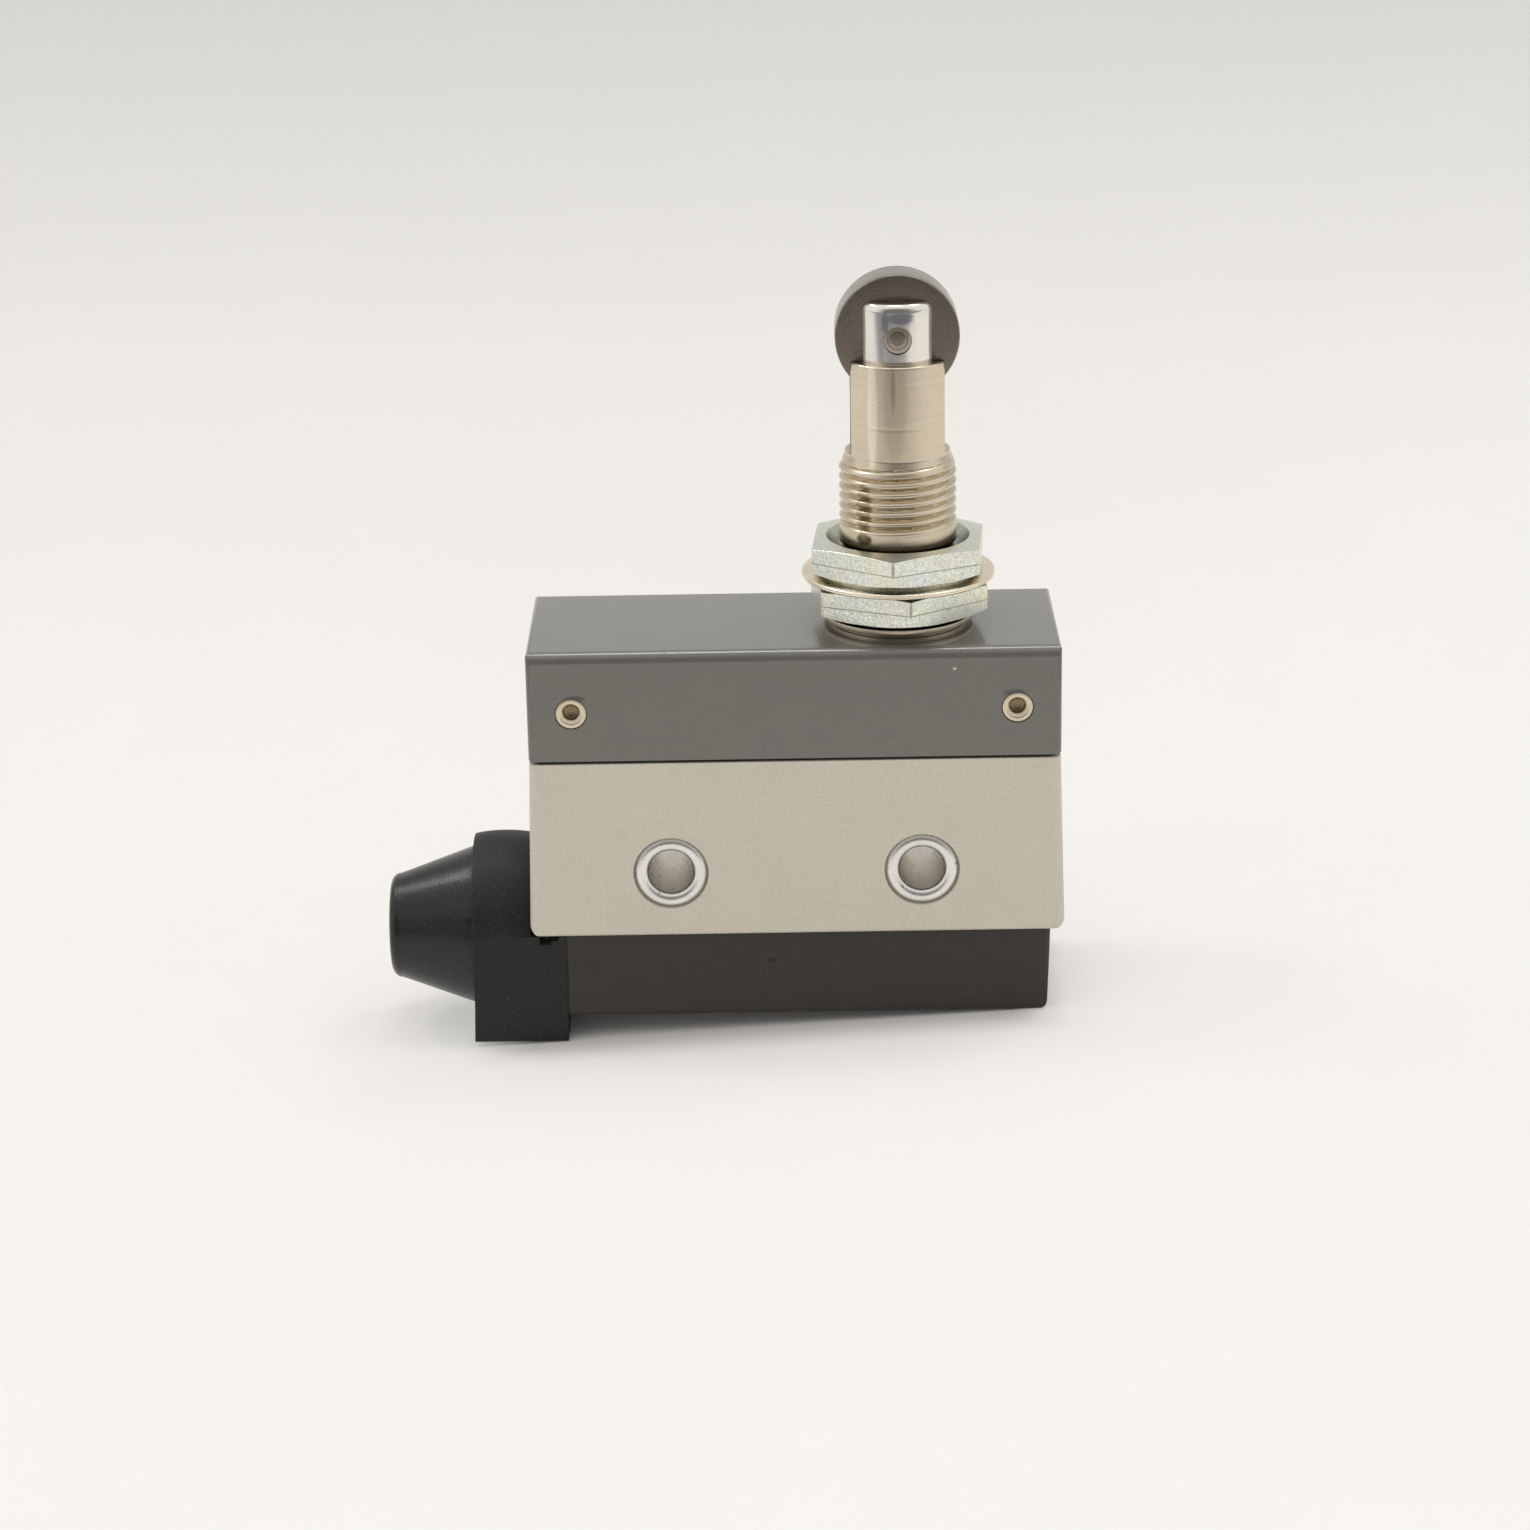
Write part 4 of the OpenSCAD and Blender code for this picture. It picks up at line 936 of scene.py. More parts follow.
def linked(name: str, data: bpy.types.ID) -> bpy.types.Object:
    """Puts a mesh, a lamp or a camera in the scene, at the origin.

    Args:
        name: Name of the object.
        data: What the object holds.

    Returns:
        The object.
    """
    obj = bpy.data.objects.new(name, data)
    bpy.context.scene.collection.objects.link(obj)
    return obj


def flattened(obj: bpy.types.Object) -> bpy.types.Mesh:
    """Applies an object's modifiers.

    Args:
        obj: The object, which stays as it is.

    Returns:
        A plain mesh of the result.
    """
    bpy.context.view_layer.update()
    depsgraph = bpy.context.evaluated_depsgraph_get()
    return bpy.data.meshes.new_from_object(obj.evaluated_get(depsgraph))


def cut_mesh(name: str, mesh: bpy.types.Mesh, cutters: Sequence[bpy.types.Mesh],
             sharp_deg: float) -> bpy.types.Mesh:
    """Takes cutting shapes out of a mesh.

    Args:
        name: Name of the result.
        mesh: Closed mesh to be cut.
        cutters: Closed meshes to take away.
        sharp_deg: Edges bent more than this stay sharp.

    Returns:
        The cut mesh.
    """
    blank = linked(name + "_blank", mesh)
    tools = [linked(name + "_tool", cutter) for cutter in cutters]
    for tool in tools:
        modifier = blank.modifiers.new("cut", "BOOLEAN")
        modifier.operation = "DIFFERENCE"
        modifier.solver = "EXACT"
        modifier.object = tool
    result = flattened(blank)
    result.name = name
    for obj in (blank, *tools):
        bpy.data.objects.remove(obj)
    shade(result, sharp_deg)
    return result


def softened_copy(node: str, name: str, edge: float, steps: int = 2) -> bpy.types.Mesh:
    """Copies a CAD node's mesh, merges it and breaks its sharp edges.

    Args:
        node: Name of the CAD node.
        name: Name of the new mesh.
        edge: Width of the broken edges, in millimetres.
        steps: Number of short sides across a broken edge.

    Returns:
        The softened mesh.
    """
    merge = 2e-6
    flat = math.radians(0.4)
    broken = math.radians(30.0)
    bm = bmesh.new()
    bm.from_mesh(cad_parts[node].data)
    bmesh.ops.remove_doubles(bm, verts=bm.verts[:], dist=merge)
    bmesh.ops.dissolve_limit(bm, angle_limit=flat, verts=bm.verts[:], edges=bm.edges[:])
    sharp = [e for e in bm.edges if e.is_manifold and e.calc_face_angle(0.0) > broken]
    bmesh.ops.bevel(bm, geom=sharp, offset=edge * MM, offset_type="OFFSET", segments=steps, profile=0.5,
                    affect="EDGES", clamp_overlap=True)
    mesh = bpy.data.meshes.new(name)
    bm.to_mesh(mesh)
    bm.free()
    shade(mesh, SHELL_DEG)
    return mesh


def keep_flat(piece: bpy.types.Object) -> None:
    """Weights a piece's normals by area, so that its broad faces stay flat beside broken edges."""
    normals = piece.modifiers.new("flat_faces", "WEIGHTED_NORMAL")
    normals.keep_sharp = True


def install(name: str, mesh: bpy.types.Mesh, material: bpy.types.Material, body: str,
            stands_for: Sequence[str]) -> bpy.types.Object:
    """Puts a finished piece on its body in place of CAD nodes.

    Args:
        name: Name of the piece.
        mesh: Its mesh, in the model's frame.
        material: Its finish.
        body: Body that carries it.
        stands_for: CAD nodes that it replaces.

    Returns:
        The piece's object.
    """
    mesh.materials.clear()
    mesh.materials.append(material)
    obj = linked(name, mesh)
    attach(obj, body)
    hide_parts(*stands_for)
    LOG.info("%s: %d faces, rides %s, stands for %s", name, len(mesh.polygons), body, ", ".join(stands_for))
    return obj


def dress(nodes: Sequence[str], material: bpy.types.Material) -> None:
    """Gives CAD nodes one finish.

    Args:
        nodes: Names of the CAD nodes.
        material: The finish's material.
    """
    for node in nodes:
        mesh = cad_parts[node].data
        mesh.materials.clear()
        mesh.materials.append(material)
        LOG.info("%s: CAD solid in %s", node, material.name)


class GeometryTree(Nodes):
    """A Geometry Nodes tree with named inputs, run once on an object and then taken off again."""

    def __init__(self, name: str, numbers: Sequence[str]) -> None:
        """Starts a tree with a geometry socket each way, named numbers and a material.

        Args:
            name: Name of the tree.
            numbers: Names of the numbers that go in.
        """
        super().__init__(bpy.data.node_groups.new(name, "GeometryNodeTree"))
        face = self.tree.interface
        face.new_socket("Geometry", in_out="INPUT", socket_type="NodeSocketGeometry")
        self.keys = {}
        for label, kind in (*((label, FLOAT) for label in numbers), ("Material", "NodeSocketMaterial")):
            self.keys[label] = face.new_socket(label, in_out="INPUT", socket_type=kind).identifier
        face.new_socket("Geometry", in_out="OUTPUT", socket_type="NodeSocketGeometry")
        self.entry = self.add("NodeGroupInput").outputs
        self.leave = self.add("NodeGroupOutput").inputs

    def end(self, geometry: bpy.types.NodeSocket) -> None:
        """Realizes the geometry, sets its material and joins it to the output.

        Args:
            geometry: Socket of the geometry.
        """
        real = self.add("GeometryNodeRealizeInstances")
        self.feed(real.inputs["Geometry"], geometry)
        dress = self.add("GeometryNodeSetMaterial")
        self.feed(dress.inputs["Geometry"], real.outputs["Geometry"])
        self.feed(dress.inputs["Material"], self.entry["Material"])
        self.feed(self.leave["Geometry"], dress.outputs["Geometry"])

    def run(self, name: str, mesh: bpy.types.Mesh, values: dict[str, Any],
            sharp_deg: float = SHARP_DEG) -> bpy.types.Mesh:
        """Runs the tree on a mesh.

        Args:
            name: Name of the result.
            mesh: Mesh that goes in.
            values: Input values, by name.
            sharp_deg: Edges bent more than this stay sharp.

        Returns:
            The plain mesh that comes out.
        """
        carrier = linked(name + "_carrier", mesh)
        modifier = carrier.modifiers.new(self.tree.name, "NODES")
        modifier.node_group = self.tree
        for label, value in values.items():
            modifier[self.keys[label]] = value
        result = flattened(carrier)
        result.name = name
        carrier.modifiers.remove(modifier)
        bpy.data.objects.remove(carrier)
        shade(result, sharp_deg)
        return result


def thread_tree() -> GeometryTree:
    """Makes a tree that presses a helical thread into the fine rows of a turned blank.

    Returns:
        The tree.
    """
    tree = GeometryTree("helical_thread", ["Axis X", "Pitch", "Outside", "Depth", "Low", "Runout", "Core"])
    slack = MM / 20
    entry = tree.entry
    position = tree.add("GeometryNodeInputPosition").outputs[0]
    x, y, z = tree.split(position)
    side = tree.math("SUBTRACT", x, entry["Axis X"])
    radius = tree.math("SQRT", tree.math("ADD", tree.math("POWER", side, 2.0), tree.math("POWER", y, 2.0)))
    turn = tree.math("DIVIDE", tree.math("ARCTAN2", y, side), 2 * math.pi)
    phase = tree.math("FRACT", tree.math("SUBTRACT", tree.math("DIVIDE", z, entry["Pitch"]), turn))
    slope = tree.math("MULTIPLY", tree.math("ABSOLUTE", tree.math("SUBTRACT", phase, 0.5)), 2.0)
    valley = tree.math("SUBTRACT", 1.0, tree.math("SINE", tree.math("MULTIPLY", slope, math.pi / 2)))
    rise = tree.math("DIVIDE", tree.math("SUBTRACT", z, entry["Low"]), entry["Runout"], clamp=True)
    deep = tree.math("MULTIPLY", tree.math("MULTIPLY", rise, valley), entry["Depth"])
    target = tree.math("SUBTRACT", entry["Outside"], deep)
    surplus = tree.math("MAXIMUM", tree.math("SUBTRACT", radius, target), 0.0)
    chosen = tree.math("MULTIPLY", tree.math("GREATER_THAN", radius, entry["Core"]),
                       tree.math("LESS_THAN", radius, tree.math("ADD", entry["Outside"], slack)))
    inward = tree.math("DIVIDE", tree.math("MULTIPLY", surplus, chosen), tree.math("MULTIPLY", radius, -1.0))
    offset = tree.join(tree.math("MULTIPLY", side, inward), tree.math("MULTIPLY", y, inward), 0.0)
    move = tree.add("GeometryNodeSetPosition")
    tree.feed(move.inputs["Geometry"], entry["Geometry"])
    tree.feed(move.inputs["Offset"], offset)
    tree.end(move.outputs["Geometry"])
    return tree


@cache
def pair_tree() -> GeometryTree:
    """Makes a tree that sets one turned piece at each of two points, along X.

    Returns:
        The tree, the same one each time.
    """
    tree = GeometryTree("cross_pair", ["Low X", "Pitch", "Height"])
    entry = tree.entry
    line = tree.add("GeometryNodeMeshLine", mode="OFFSET")
    line.inputs["Count"].default_value = 2
    tree.feed(line.inputs["Start Location"], tree.join(entry["Low X"], 0.0, entry["Height"]))
    tree.feed(line.inputs["Offset"], tree.join(entry["Pitch"], 0.0, 0.0))
    spread = tree.add("GeometryNodeInstanceOnPoints")
    tree.feed(spread.inputs["Points"], line.outputs[0])
    tree.feed(spread.inputs["Instance"], entry["Geometry"])
    tree.end(spread.outputs[0])
    return tree


def spring_tree() -> GeometryTree:
    """Makes a tree that winds a compression spring with one closed coil at each end.

    Returns:
        The tree.
    """
    tree = GeometryTree(
        "wound_spring", ["Axis X", "Foot", "Radius", "Wire", "Turns", "Length", "Closed Pitch"])
    entry = tree.entry
    coil = tree.add("GeometryNodeCurveSpiral")
    coil.inputs["Resolution"].default_value = 40
    tree.feed(coil.inputs["Rotations"], entry["Turns"])
    tree.feed(coil.inputs["Start Radius"], entry["Radius"])
    tree.feed(coil.inputs["End Radius"], entry["Radius"])
    tree.feed(coil.inputs["Height"], entry["Turns"])
    x, y, turn = tree.split(tree.add("GeometryNodeInputPosition").outputs[0])
    rise = tree.math("SUBTRACT", tree.math("SUBTRACT", entry["Length"], entry["Wire"]),
                     tree.math("MULTIPLY", entry["Closed Pitch"], 2.0))
    free = tree.math("SUBTRACT", entry["Turns"], 2.0)
    first = tree.math("MULTIPLY", tree.math("ADD", turn, 0.0, clamp=True), entry["Closed Pitch"])
    share = tree.math("DIVIDE", tree.math("SUBTRACT", turn, 1.0), free, clamp=True)
    last = tree.math("SUBTRACT", turn, tree.math("ADD", free, 1.0), clamp=True)
    height = tree.math("ADD", tree.math("ADD", first, tree.math("MULTIPLY", share, rise)),
                       tree.math("MULTIPLY", last, entry["Closed Pitch"]))
    foot = tree.math("ADD", entry["Foot"], tree.math("DIVIDE", entry["Wire"], 2.0))
    wound = tree.add("GeometryNodeSetPosition")
    tree.feed(wound.inputs["Geometry"], coil.outputs[0])
    tree.feed(wound.inputs["Position"], tree.join(tree.math("ADD", x, entry["Axis X"]), y,
                                                  tree.math("ADD", height, foot)))
    section = tree.add("GeometryNodeCurvePrimitiveCircle")
    section.inputs["Resolution"].default_value = 12
    tree.feed(section.inputs["Radius"], tree.math("DIVIDE", entry["Wire"], 2.0))
    sweep = tree.add("GeometryNodeCurveToMesh")
    tree.feed(sweep.inputs["Curve"], wound.outputs[0])
    tree.feed(sweep.inputs["Profile Curve"], section.outputs[0])
    sweep.inputs["Fill Caps"].default_value = True
    tree.end(sweep.outputs[0])
    return tree


@dataclass
class Case:
    """Painted die-cast housing and head, the moulded terminal cover, their gaskets and the plunger's seal."""

    edge: float = 0.14
    head_edge: float = 0.2
    cover_edge: float = 0.18
    body: Enamel = Enamel(
        Slot.BODY, (0.668, 0.624, 0.522), roughness=0.42, peel_depth=0.014, peel_scale=3.6, drift=0.02,
        speck_share=0.05, speck_colour=(0.42, 0.37, 0.29), speck_strength=0.25)
    head: Enamel = Enamel(
        Slot.HEAD, (0.121, 0.114, 0.096), roughness=0.30, peel_depth=0.009, speck_colour=(0.06, 0.06, 0.05),
        gloss=0.8, coat=0.9,
        marks=(Spot((26.55, -9.7, 22.7), (0.25, 0.5, 0.25), (0.75, 0.74, 0.72)),
               Spot((16.0, -10.45, 21.3), (0.26, 0.5, 0.22), (0.50, 0.48, 0.44)),
               # The two near-black crescents above the rivets are painted shadow of their recesses' upper
               # edges.
               Spot((-21.9, -10.5, 18.7), (1.5, 0.6, 0.5), (0.020, 0.018, 0.015)),
               Spot((22.0, -10.5, 18.7), (1.5, 0.6, 0.5), (0.020, 0.018, 0.015))))
    cover: Moulding = Moulding(
        Slot.COVER, (0.030, 0.026, 0.022), roughness=0.40, grain_depth=0.006, grain_scale=6.0,
        dust_share=0.05, gloss=0.4,
        # The near-black stripe at the cover's left end is painted shade of the gap against the boot.
        marks=(Spot((-23.65, -9.4, -11.5), (0.3, 1.5, 9.0), (0.003, 0.003, 0.003)),
               Spot((-2.6, -9.4, -10.0), (0.6, 0.6, 0.35), (0.008, 0.008, 0.008))))
    seal: Moulding = Moulding(Slot.SEAL, (0.012, 0.012, 0.012), roughness=0.6, grain_depth=0.02)

    def build(self) -> None:
        """Builds the three shells over their solids and finishes the gaskets and the seal."""
        for node, edge, finish in (
                ("body_housing", self.edge, self.body),
                ("head_cover", self.head_edge, self.head),
                ("terminal_cover", self.cover_edge, self.cover)):
            name = node + "_shell"
            mesh = softened_copy(node, name, edge)
            keep_flat(install(name, mesh, finish.material(), "root", [node]))
        dress(["head_gasket", "cover_gasket", "plunger_o_ring"], self.seal.material())


@dataclass
class CrossFasteners:
    """Rolled eyelets through the housing and flared cross rivets through the head."""

    bore_r: float = 2.3
    bead_r: float = 0.6
    bead_w: float = 0.72
    wall: float = 0.7
    sink: float = 0.1
    rivet_head_r: float = 1.55
    rivet_shank_r: float = 1.1
    rivet_head_t: float = 0.45
    hollow_r: float = 0.72
    # The next two size the painted shade in each rivet's hollow.
    hollow_shade_reach: float = 1.6
    hollow_shade_depth: float = 5.0
    flare_r: float = 1.12
    flare_t: float = 0.34
    rivet_sink: float = 0.07
    rivet_ease: float = 0.09
    # Colour of the painted shade in the rivets' hollows.
    hollow_shade_tone: Colour = (0.24, 0.18, 0.11)
    eyelet: PlatedMetal = PlatedMetal(
        Slot.EYELET, (0.86, 0.85, 0.83), (0.72, 0.69, 0.65), roughness=0.30, dent_depth=0.002,
        pit_share=0.10)
    # Painted shade darkens the eyelets' bores, most along their middle and fading towards the beads.
    bore_shade_reach: Place = (8.0, 13.0, 8.0)
    bore_shade_tone: Colour = (0.68, 0.65, 0.59)
    rivet: PlatedMetal = PlatedMetal(Slot.RIVET, (0.78, 0.70, 0.53), (0.60, 0.53, 0.40), roughness=0.30)

    def eyelet_outline(self, half: float) -> list[Point]:
        """Section of an eyelet with a rolled bead at both ends.

        Args:
            half: Half of its length.

        Returns:
            The corners, as radius and depth.
        """
        bead_y = half - self.bead_r
        steps = 10
        bead = []
        for step in range(steps + 1):
            angle = math.pi * step / steps
            bead.append((self.bore_r + self.bead_w - self.bead_w * math.cos(angle),
                         bead_y + self.bead_r * math.sin(angle)))
        sleeve_r = self.bore_r + self.wall
        back = [(sleeve_r + 0.05, bead_y), (sleeve_r, bead_y - 0.05)]
        return [*bead, *back, *mirrored(back), *mirrored(bead)]

    def rivet_outline(self, half: float) -> list[Point]:
        """Section of a flared rivet.

        Args:
            half: Half of the head's depth.

        Returns:
            The corners, as radius and depth.
        """
        end = half - self.rivet_sink
        hollow_y = end - 2.2 * self.rivet_head_t
        upper = [
            (0.0, hollow_y),
            (self.hollow_r, hollow_y + 0.1),
            (self.hollow_r, end - self.flare_t),
            (self.flare_r, end),
            (self.rivet_head_r, end - 0.02),
            (self.rivet_head_r, half - self.rivet_head_t),
            (self.rivet_shank_r, half - self.rivet_head_t),
        ]
        return eased([*upper, *mirrored(upper)], self.rivet_ease)

    def set_pair(self, name: str, blank: bpy.types.Mesh, ends: Point, height: float, finish: PlatedMetal,
                 stands_for: Sequence[str]) -> None:
        """Repeats one turned piece at two points.

        Args:
            name: Name of the pair.
            blank: The turned piece, at the origin.
            ends: Places of the two points along X.
            height: Height of both.
            finish: Finish of both.
            stands_for: CAD nodes that the pair replaces.
        """
        first, last = ends
        material = finish.material()
        mesh = pair_tree().run(name, blank, {
            "Low X": first * MM, "Pitch": (last - first) * MM, "Height": height * MM, "Material": material})
        install(name, mesh, material, "root", stands_for)

    def build(self) -> None:
        """Builds both pairs, the eyelets and the rivets."""
        half = high_mm("body_housing").y
        left, right = middle_mm("mounting_eyelet_left"), middle_mm("mounting_eyelet_right")
        ends = (left.x, right.x)
        # Painted shade down each eyelet's bore.
        bore_shades = tuple(Spot((x, 0.0, left.z), self.bore_shade_reach, self.bore_shade_tone) for x in ends)
        blank = turned_mesh("eyelet_blank", self.eyelet_outline(half - self.sink), (0, 0, 0), Axis.DEPTH, 72)
        self.set_pair("mounting_eyelets", blank, ends, left.z, replace(self.eyelet, marks=bore_shades),
                      ["mounting_eyelet_left", "mounting_eyelet_right"])
        low, high = low_mm("head_rivets"), high_mm("head_rivets")
        ends = (low.x + self.rivet_head_r, high.x - self.rivet_head_r)
        height = (low.z + high.z) / 2
        # Painted shade darkens the hollow at each rivet end.
        wide = self.hollow_shade_reach * self.hollow_r
        hollow_shades = tuple(Spot((x, side * half, height), (wide, self.hollow_shade_depth, wide), self.hollow_shade_tone)
                        for x in ends for side in (-1, 1))
        blank = turned_mesh("rivet_blank", self.rivet_outline(half), (0, 0, 0), Axis.DEPTH, 64)
        self.set_pair("cross_rivets", blank, ends, height, replace(self.rivet, marks=hollow_shades),
                      ["head_rivets"])


@dataclass
class PanelBarrel:
    """Turned and threaded barrel with its two hexagon nuts and the washer between them."""

    flange_r: float = 7.6
    flange_t: float = 1.0
    foot_r: float = 6.9
    foot_h: float = 0.5
    spigot_r: float = 5.6
    stake_r: float = 6.4
    stake_t: float = 1.4
    head_wall: float = 1.6
    floor_t: float = 1.7
    thread_r: float = 5.9
    thread_len: float = 15.2
    runout: float = 1.4
    pitch: float = 1.0
    thread_depth: float = 0.52
    band_low: float = 31.9
    band_high: float = 33.6
    neck_r: float = 5.62
    rows_per_pitch: int = 16
    sleeve_r: float = 5.25
    bore_r: float = 4.15
    stem_hole_r: float = 2.55
    slot_w: float = 4.8
    slot_bottom: float = 41.2
    rim: float = 0.15
    groove_z: float = 44.4
    nut_flats: float = 16.8
    nut_face_r: float = 7.4
    nut_relief: float = 0.35
    nut_chamfer: float = 0.45
    nut_crown: float = 0.35
    nut_sink: float = 1.0
    nut_mouth: float = 1.3
    nut_mouth_t: float = 1.9
    nut_bore_r: float = 5.95
    nut_line: float = 0.02
    nut_sharp: float = 20.0
    lower_turn: float = 5.8
    upper_turn: float = -4.6
    washer_hole_r: float = 6.1
    line_reach: Place = (30.0, 30.0, 0.08)
    line_tone: Colour = (0.40, 0.40, 0.34)
    # A short dark line painted down the top of each nut's front corner: its drop below the top, its reach and
    # its colour.
    front_corner_drop: float = 1.1
    front_corner_reach: Place = (0.22, 0.5, 1.2)
    front_corner_tone: Colour = (0.44, 0.40, 0.34)
    nut: PlatedMetal = PlatedMetal(
        Slot.NUT, (0.84, 0.95, 0.99), (0.95, 0.98, 0.74), roughness=0.32, mottle_scale=4.5, tint_share=1.0,
        bloom=(0.92, 0.86, 0.90))
    washer: PlatedMetal = PlatedMetal(Slot.WASHER, (0.96, 0.87, 0.71), (0.86, 0.76, 0.60), roughness=0.26)

    def build(self) -> None:
        """Builds the barrel, both nuts and the washer."""
        self.build_barrel()
        axis_x = middle_mm("upper_nut").x
        corner = self.nut_flats / math.sqrt(3)
        turns = {"lower_nut": self.lower_turn, "upper_nut": self.upper_turn}
        marks = []
        for node, turn in turns.items():
            aim = math.radians(turn - 90)
            height = high_mm(node).z - self.front_corner_drop
            # A short dark line is painted down the front corner, below the top.
            front = (axis_x + corner * math.cos(aim), corner * math.sin(aim), height)
            marks.append(Spot((axis_x, 0.0, self.nut_middle(node)), self.line_reach, self.line_tone))
            marks.append(Spot(front, self.front_corner_reach, self.front_corner_tone))
        # Painted shade darkens the nuts' countersunk mouths, most at the front.
        mouth = (axis_x, self.nut_bore_r + self.nut_mouth)
        zinc = replace(self.nut, marks=tuple(marks), mouth=mouth).material()
        for node, turn in turns.items():
            self.build_nut(node, turn, zinc)
        self.build_washer()

    def barrel_outline(self) -> list[Point]:
        """Section of the barrel, with fine rows where the thread is pressed in.

        Returns:
            The corners, as radius and height.
        """
        bottom, top = low_mm("plunger_bushing").z, high_mm("plunger_bushing").z
        ceiling = bottom + self.stake_t
        head_top = ceiling + self.head_wall
        flange_top = head_top + self.flange_t
        thread_top = flange_top + self.thread_len
        floor = bottom + self.floor_t
        start = flange_top + 0.15
        lower = eased([
            (self.stem_hole_r, bottom), (self.stake_r, bottom), (self.stake_r, ceiling),
            (self.spigot_r, ceiling), (self.spigot_r, head_top), (self.foot_r, head_top),
            (self.foot_r, head_top + self.foot_h), (self.flange_r, head_top + self.foot_h),
            (self.flange_r, flange_top), (self.neck_r, flange_top), (self.neck_r, start)], 0.08, closed=False)
        step = self.pitch / self.rows_per_pitch
        band = [(self.neck_r, self.band_low - 0.1), (self.thread_r - 0.1, self.band_low - 0.04),
                (self.thread_r - 0.03, self.band_low), (self.thread_r, self.band_low + 0.08)]
        rows = math.ceil((thread_top - self.band_low - 0.2) / step)
        first = self.band_low + 0.16
        fine = [(self.thread_r, first + (thread_top - first) * i / rows) for i in range(rows)]
        fall = math.ceil(self.runout / step)
        taper = self.sleeve_r - self.thread_r
        chamfer = [(self.thread_r + taper * i / fall, thread_top + self.runout * i / fall)
                   for i in range(fall + 1)]
        ring = [(self.sleeve_r, thread_top + self.runout + 0.12), (self.sleeve_r, self.groove_z - 0.4),
                (self.sleeve_r, self.groove_z - 0.12), (self.sleeve_r - 0.004, self.groove_z - 0.04),
                (self.sleeve_r - 0.004, self.groove_z + 0.04), (self.sleeve_r, self.groove_z + 0.12)]
        upper = eased([
            (self.sleeve_r, self.groove_z + 0.4), (self.sleeve_r, top - 2 * self.rim),
            (self.sleeve_r, top - self.rim), (self.sleeve_r - self.rim, top),
            (self.bore_r, top), (self.bore_r, floor), (self.stem_hole_r, floor)], 0.06, closed=False)
        return [*lower, *band, *fine, *chamfer, *ring, *upper]

    def build_barrel(self) -> None:
        """Turns the barrel, presses its thread and cuts the roller's slot."""
        axis_x = middle_mm("plunger_bushing").x
        top = high_mm("plunger_bushing").z
        # Painted light: a dark reflection down the sleeve's front, a light reflection strip and a dark
        # reflection streak beside it, dark reflections on the left of the band and thread, and a ring of
        # painted shade where the barrel meets the upper nut.
        sleeve_light_and_shade = (
            Spot((axis_x - 0.35, -self.sleeve_r, top - 3.6), (1.7, 0.8, 8.5), (0.60, 0.515, 0.39)),
            Spot((axis_x - 2.6, -4.5, top - 4.6), (0.7, 1.2, 9.0), (0.88, 0.79, 0.64)),
            Spot((axis_x - 0.55, -self.sleeve_r, top - 2.2), (0.32, 0.8, 3.2), (0.44, 0.365, 0.27)),
            Spot((axis_x - 3.5, -4.75, self.band_high - 0.5), (1.2, 1.5, 0.8), (0.10, 0.08, 0.05)),
            Spot((axis_x - 3.6, -4.6, self.band_high + 2.6), (1.1, 1.5, 4.0), (0.38, 0.32, 0.23)),
            Spot((axis_x, 0.0, self.band_low), (30.0, 30.0, 0.42), (0.12, 0.10, 0.07)))
        finish = TurnedMetal(
            Slot.BARREL, (0.74, 0.65, 0.51), (0.48, 0.41, 0.30), roughness=0.25, ring_depth=0.003,
            centre=(axis_x, 0.0, 0.0), axis=Axis.UPRIGHT, lines=14.0, stain=0.18, ring_tone=0.22,
            marks=sleeve_light_and_shade)
        blank = turned_mesh("barrel_blank", self.barrel_outline(), (axis_x, 0.0, 0.0), Axis.UPRIGHT, 144)
        material = finish.material()
        threaded = thread_tree().run("barrel_threaded", blank, {
            "Axis X": axis_x * MM, "Pitch": self.pitch * MM, "Outside": self.thread_r * MM,
            "Depth": self.thread_depth * MM, "Low": self.band_high * MM, "Runout": 0.25 * MM,
            "Core": (self.sleeve_r + 0.02) * MM, "Material": material}, SMOOTH_DEG)
        slot = block_mesh(
            "roller_slot",
            (axis_x - self.flange_r, -self.slot_w / 2, self.slot_bottom),
            (axis_x + self.flange_r, self.slot_w / 2, top + 1))
        mesh = cut_mesh("threaded_barrel", threaded, [slot], SMOOTH_DEG)
        install("threaded_barrel", mesh, material, "root", ["plunger_bushing"])

    def nut_middle(self, node: str) -> float:
        """Height of a nut's parting line."""
        low, high = low_mm(node).z, high_mm(node).z
        return low + (high - low + self.nut_relief - self.nut_crown) / 2

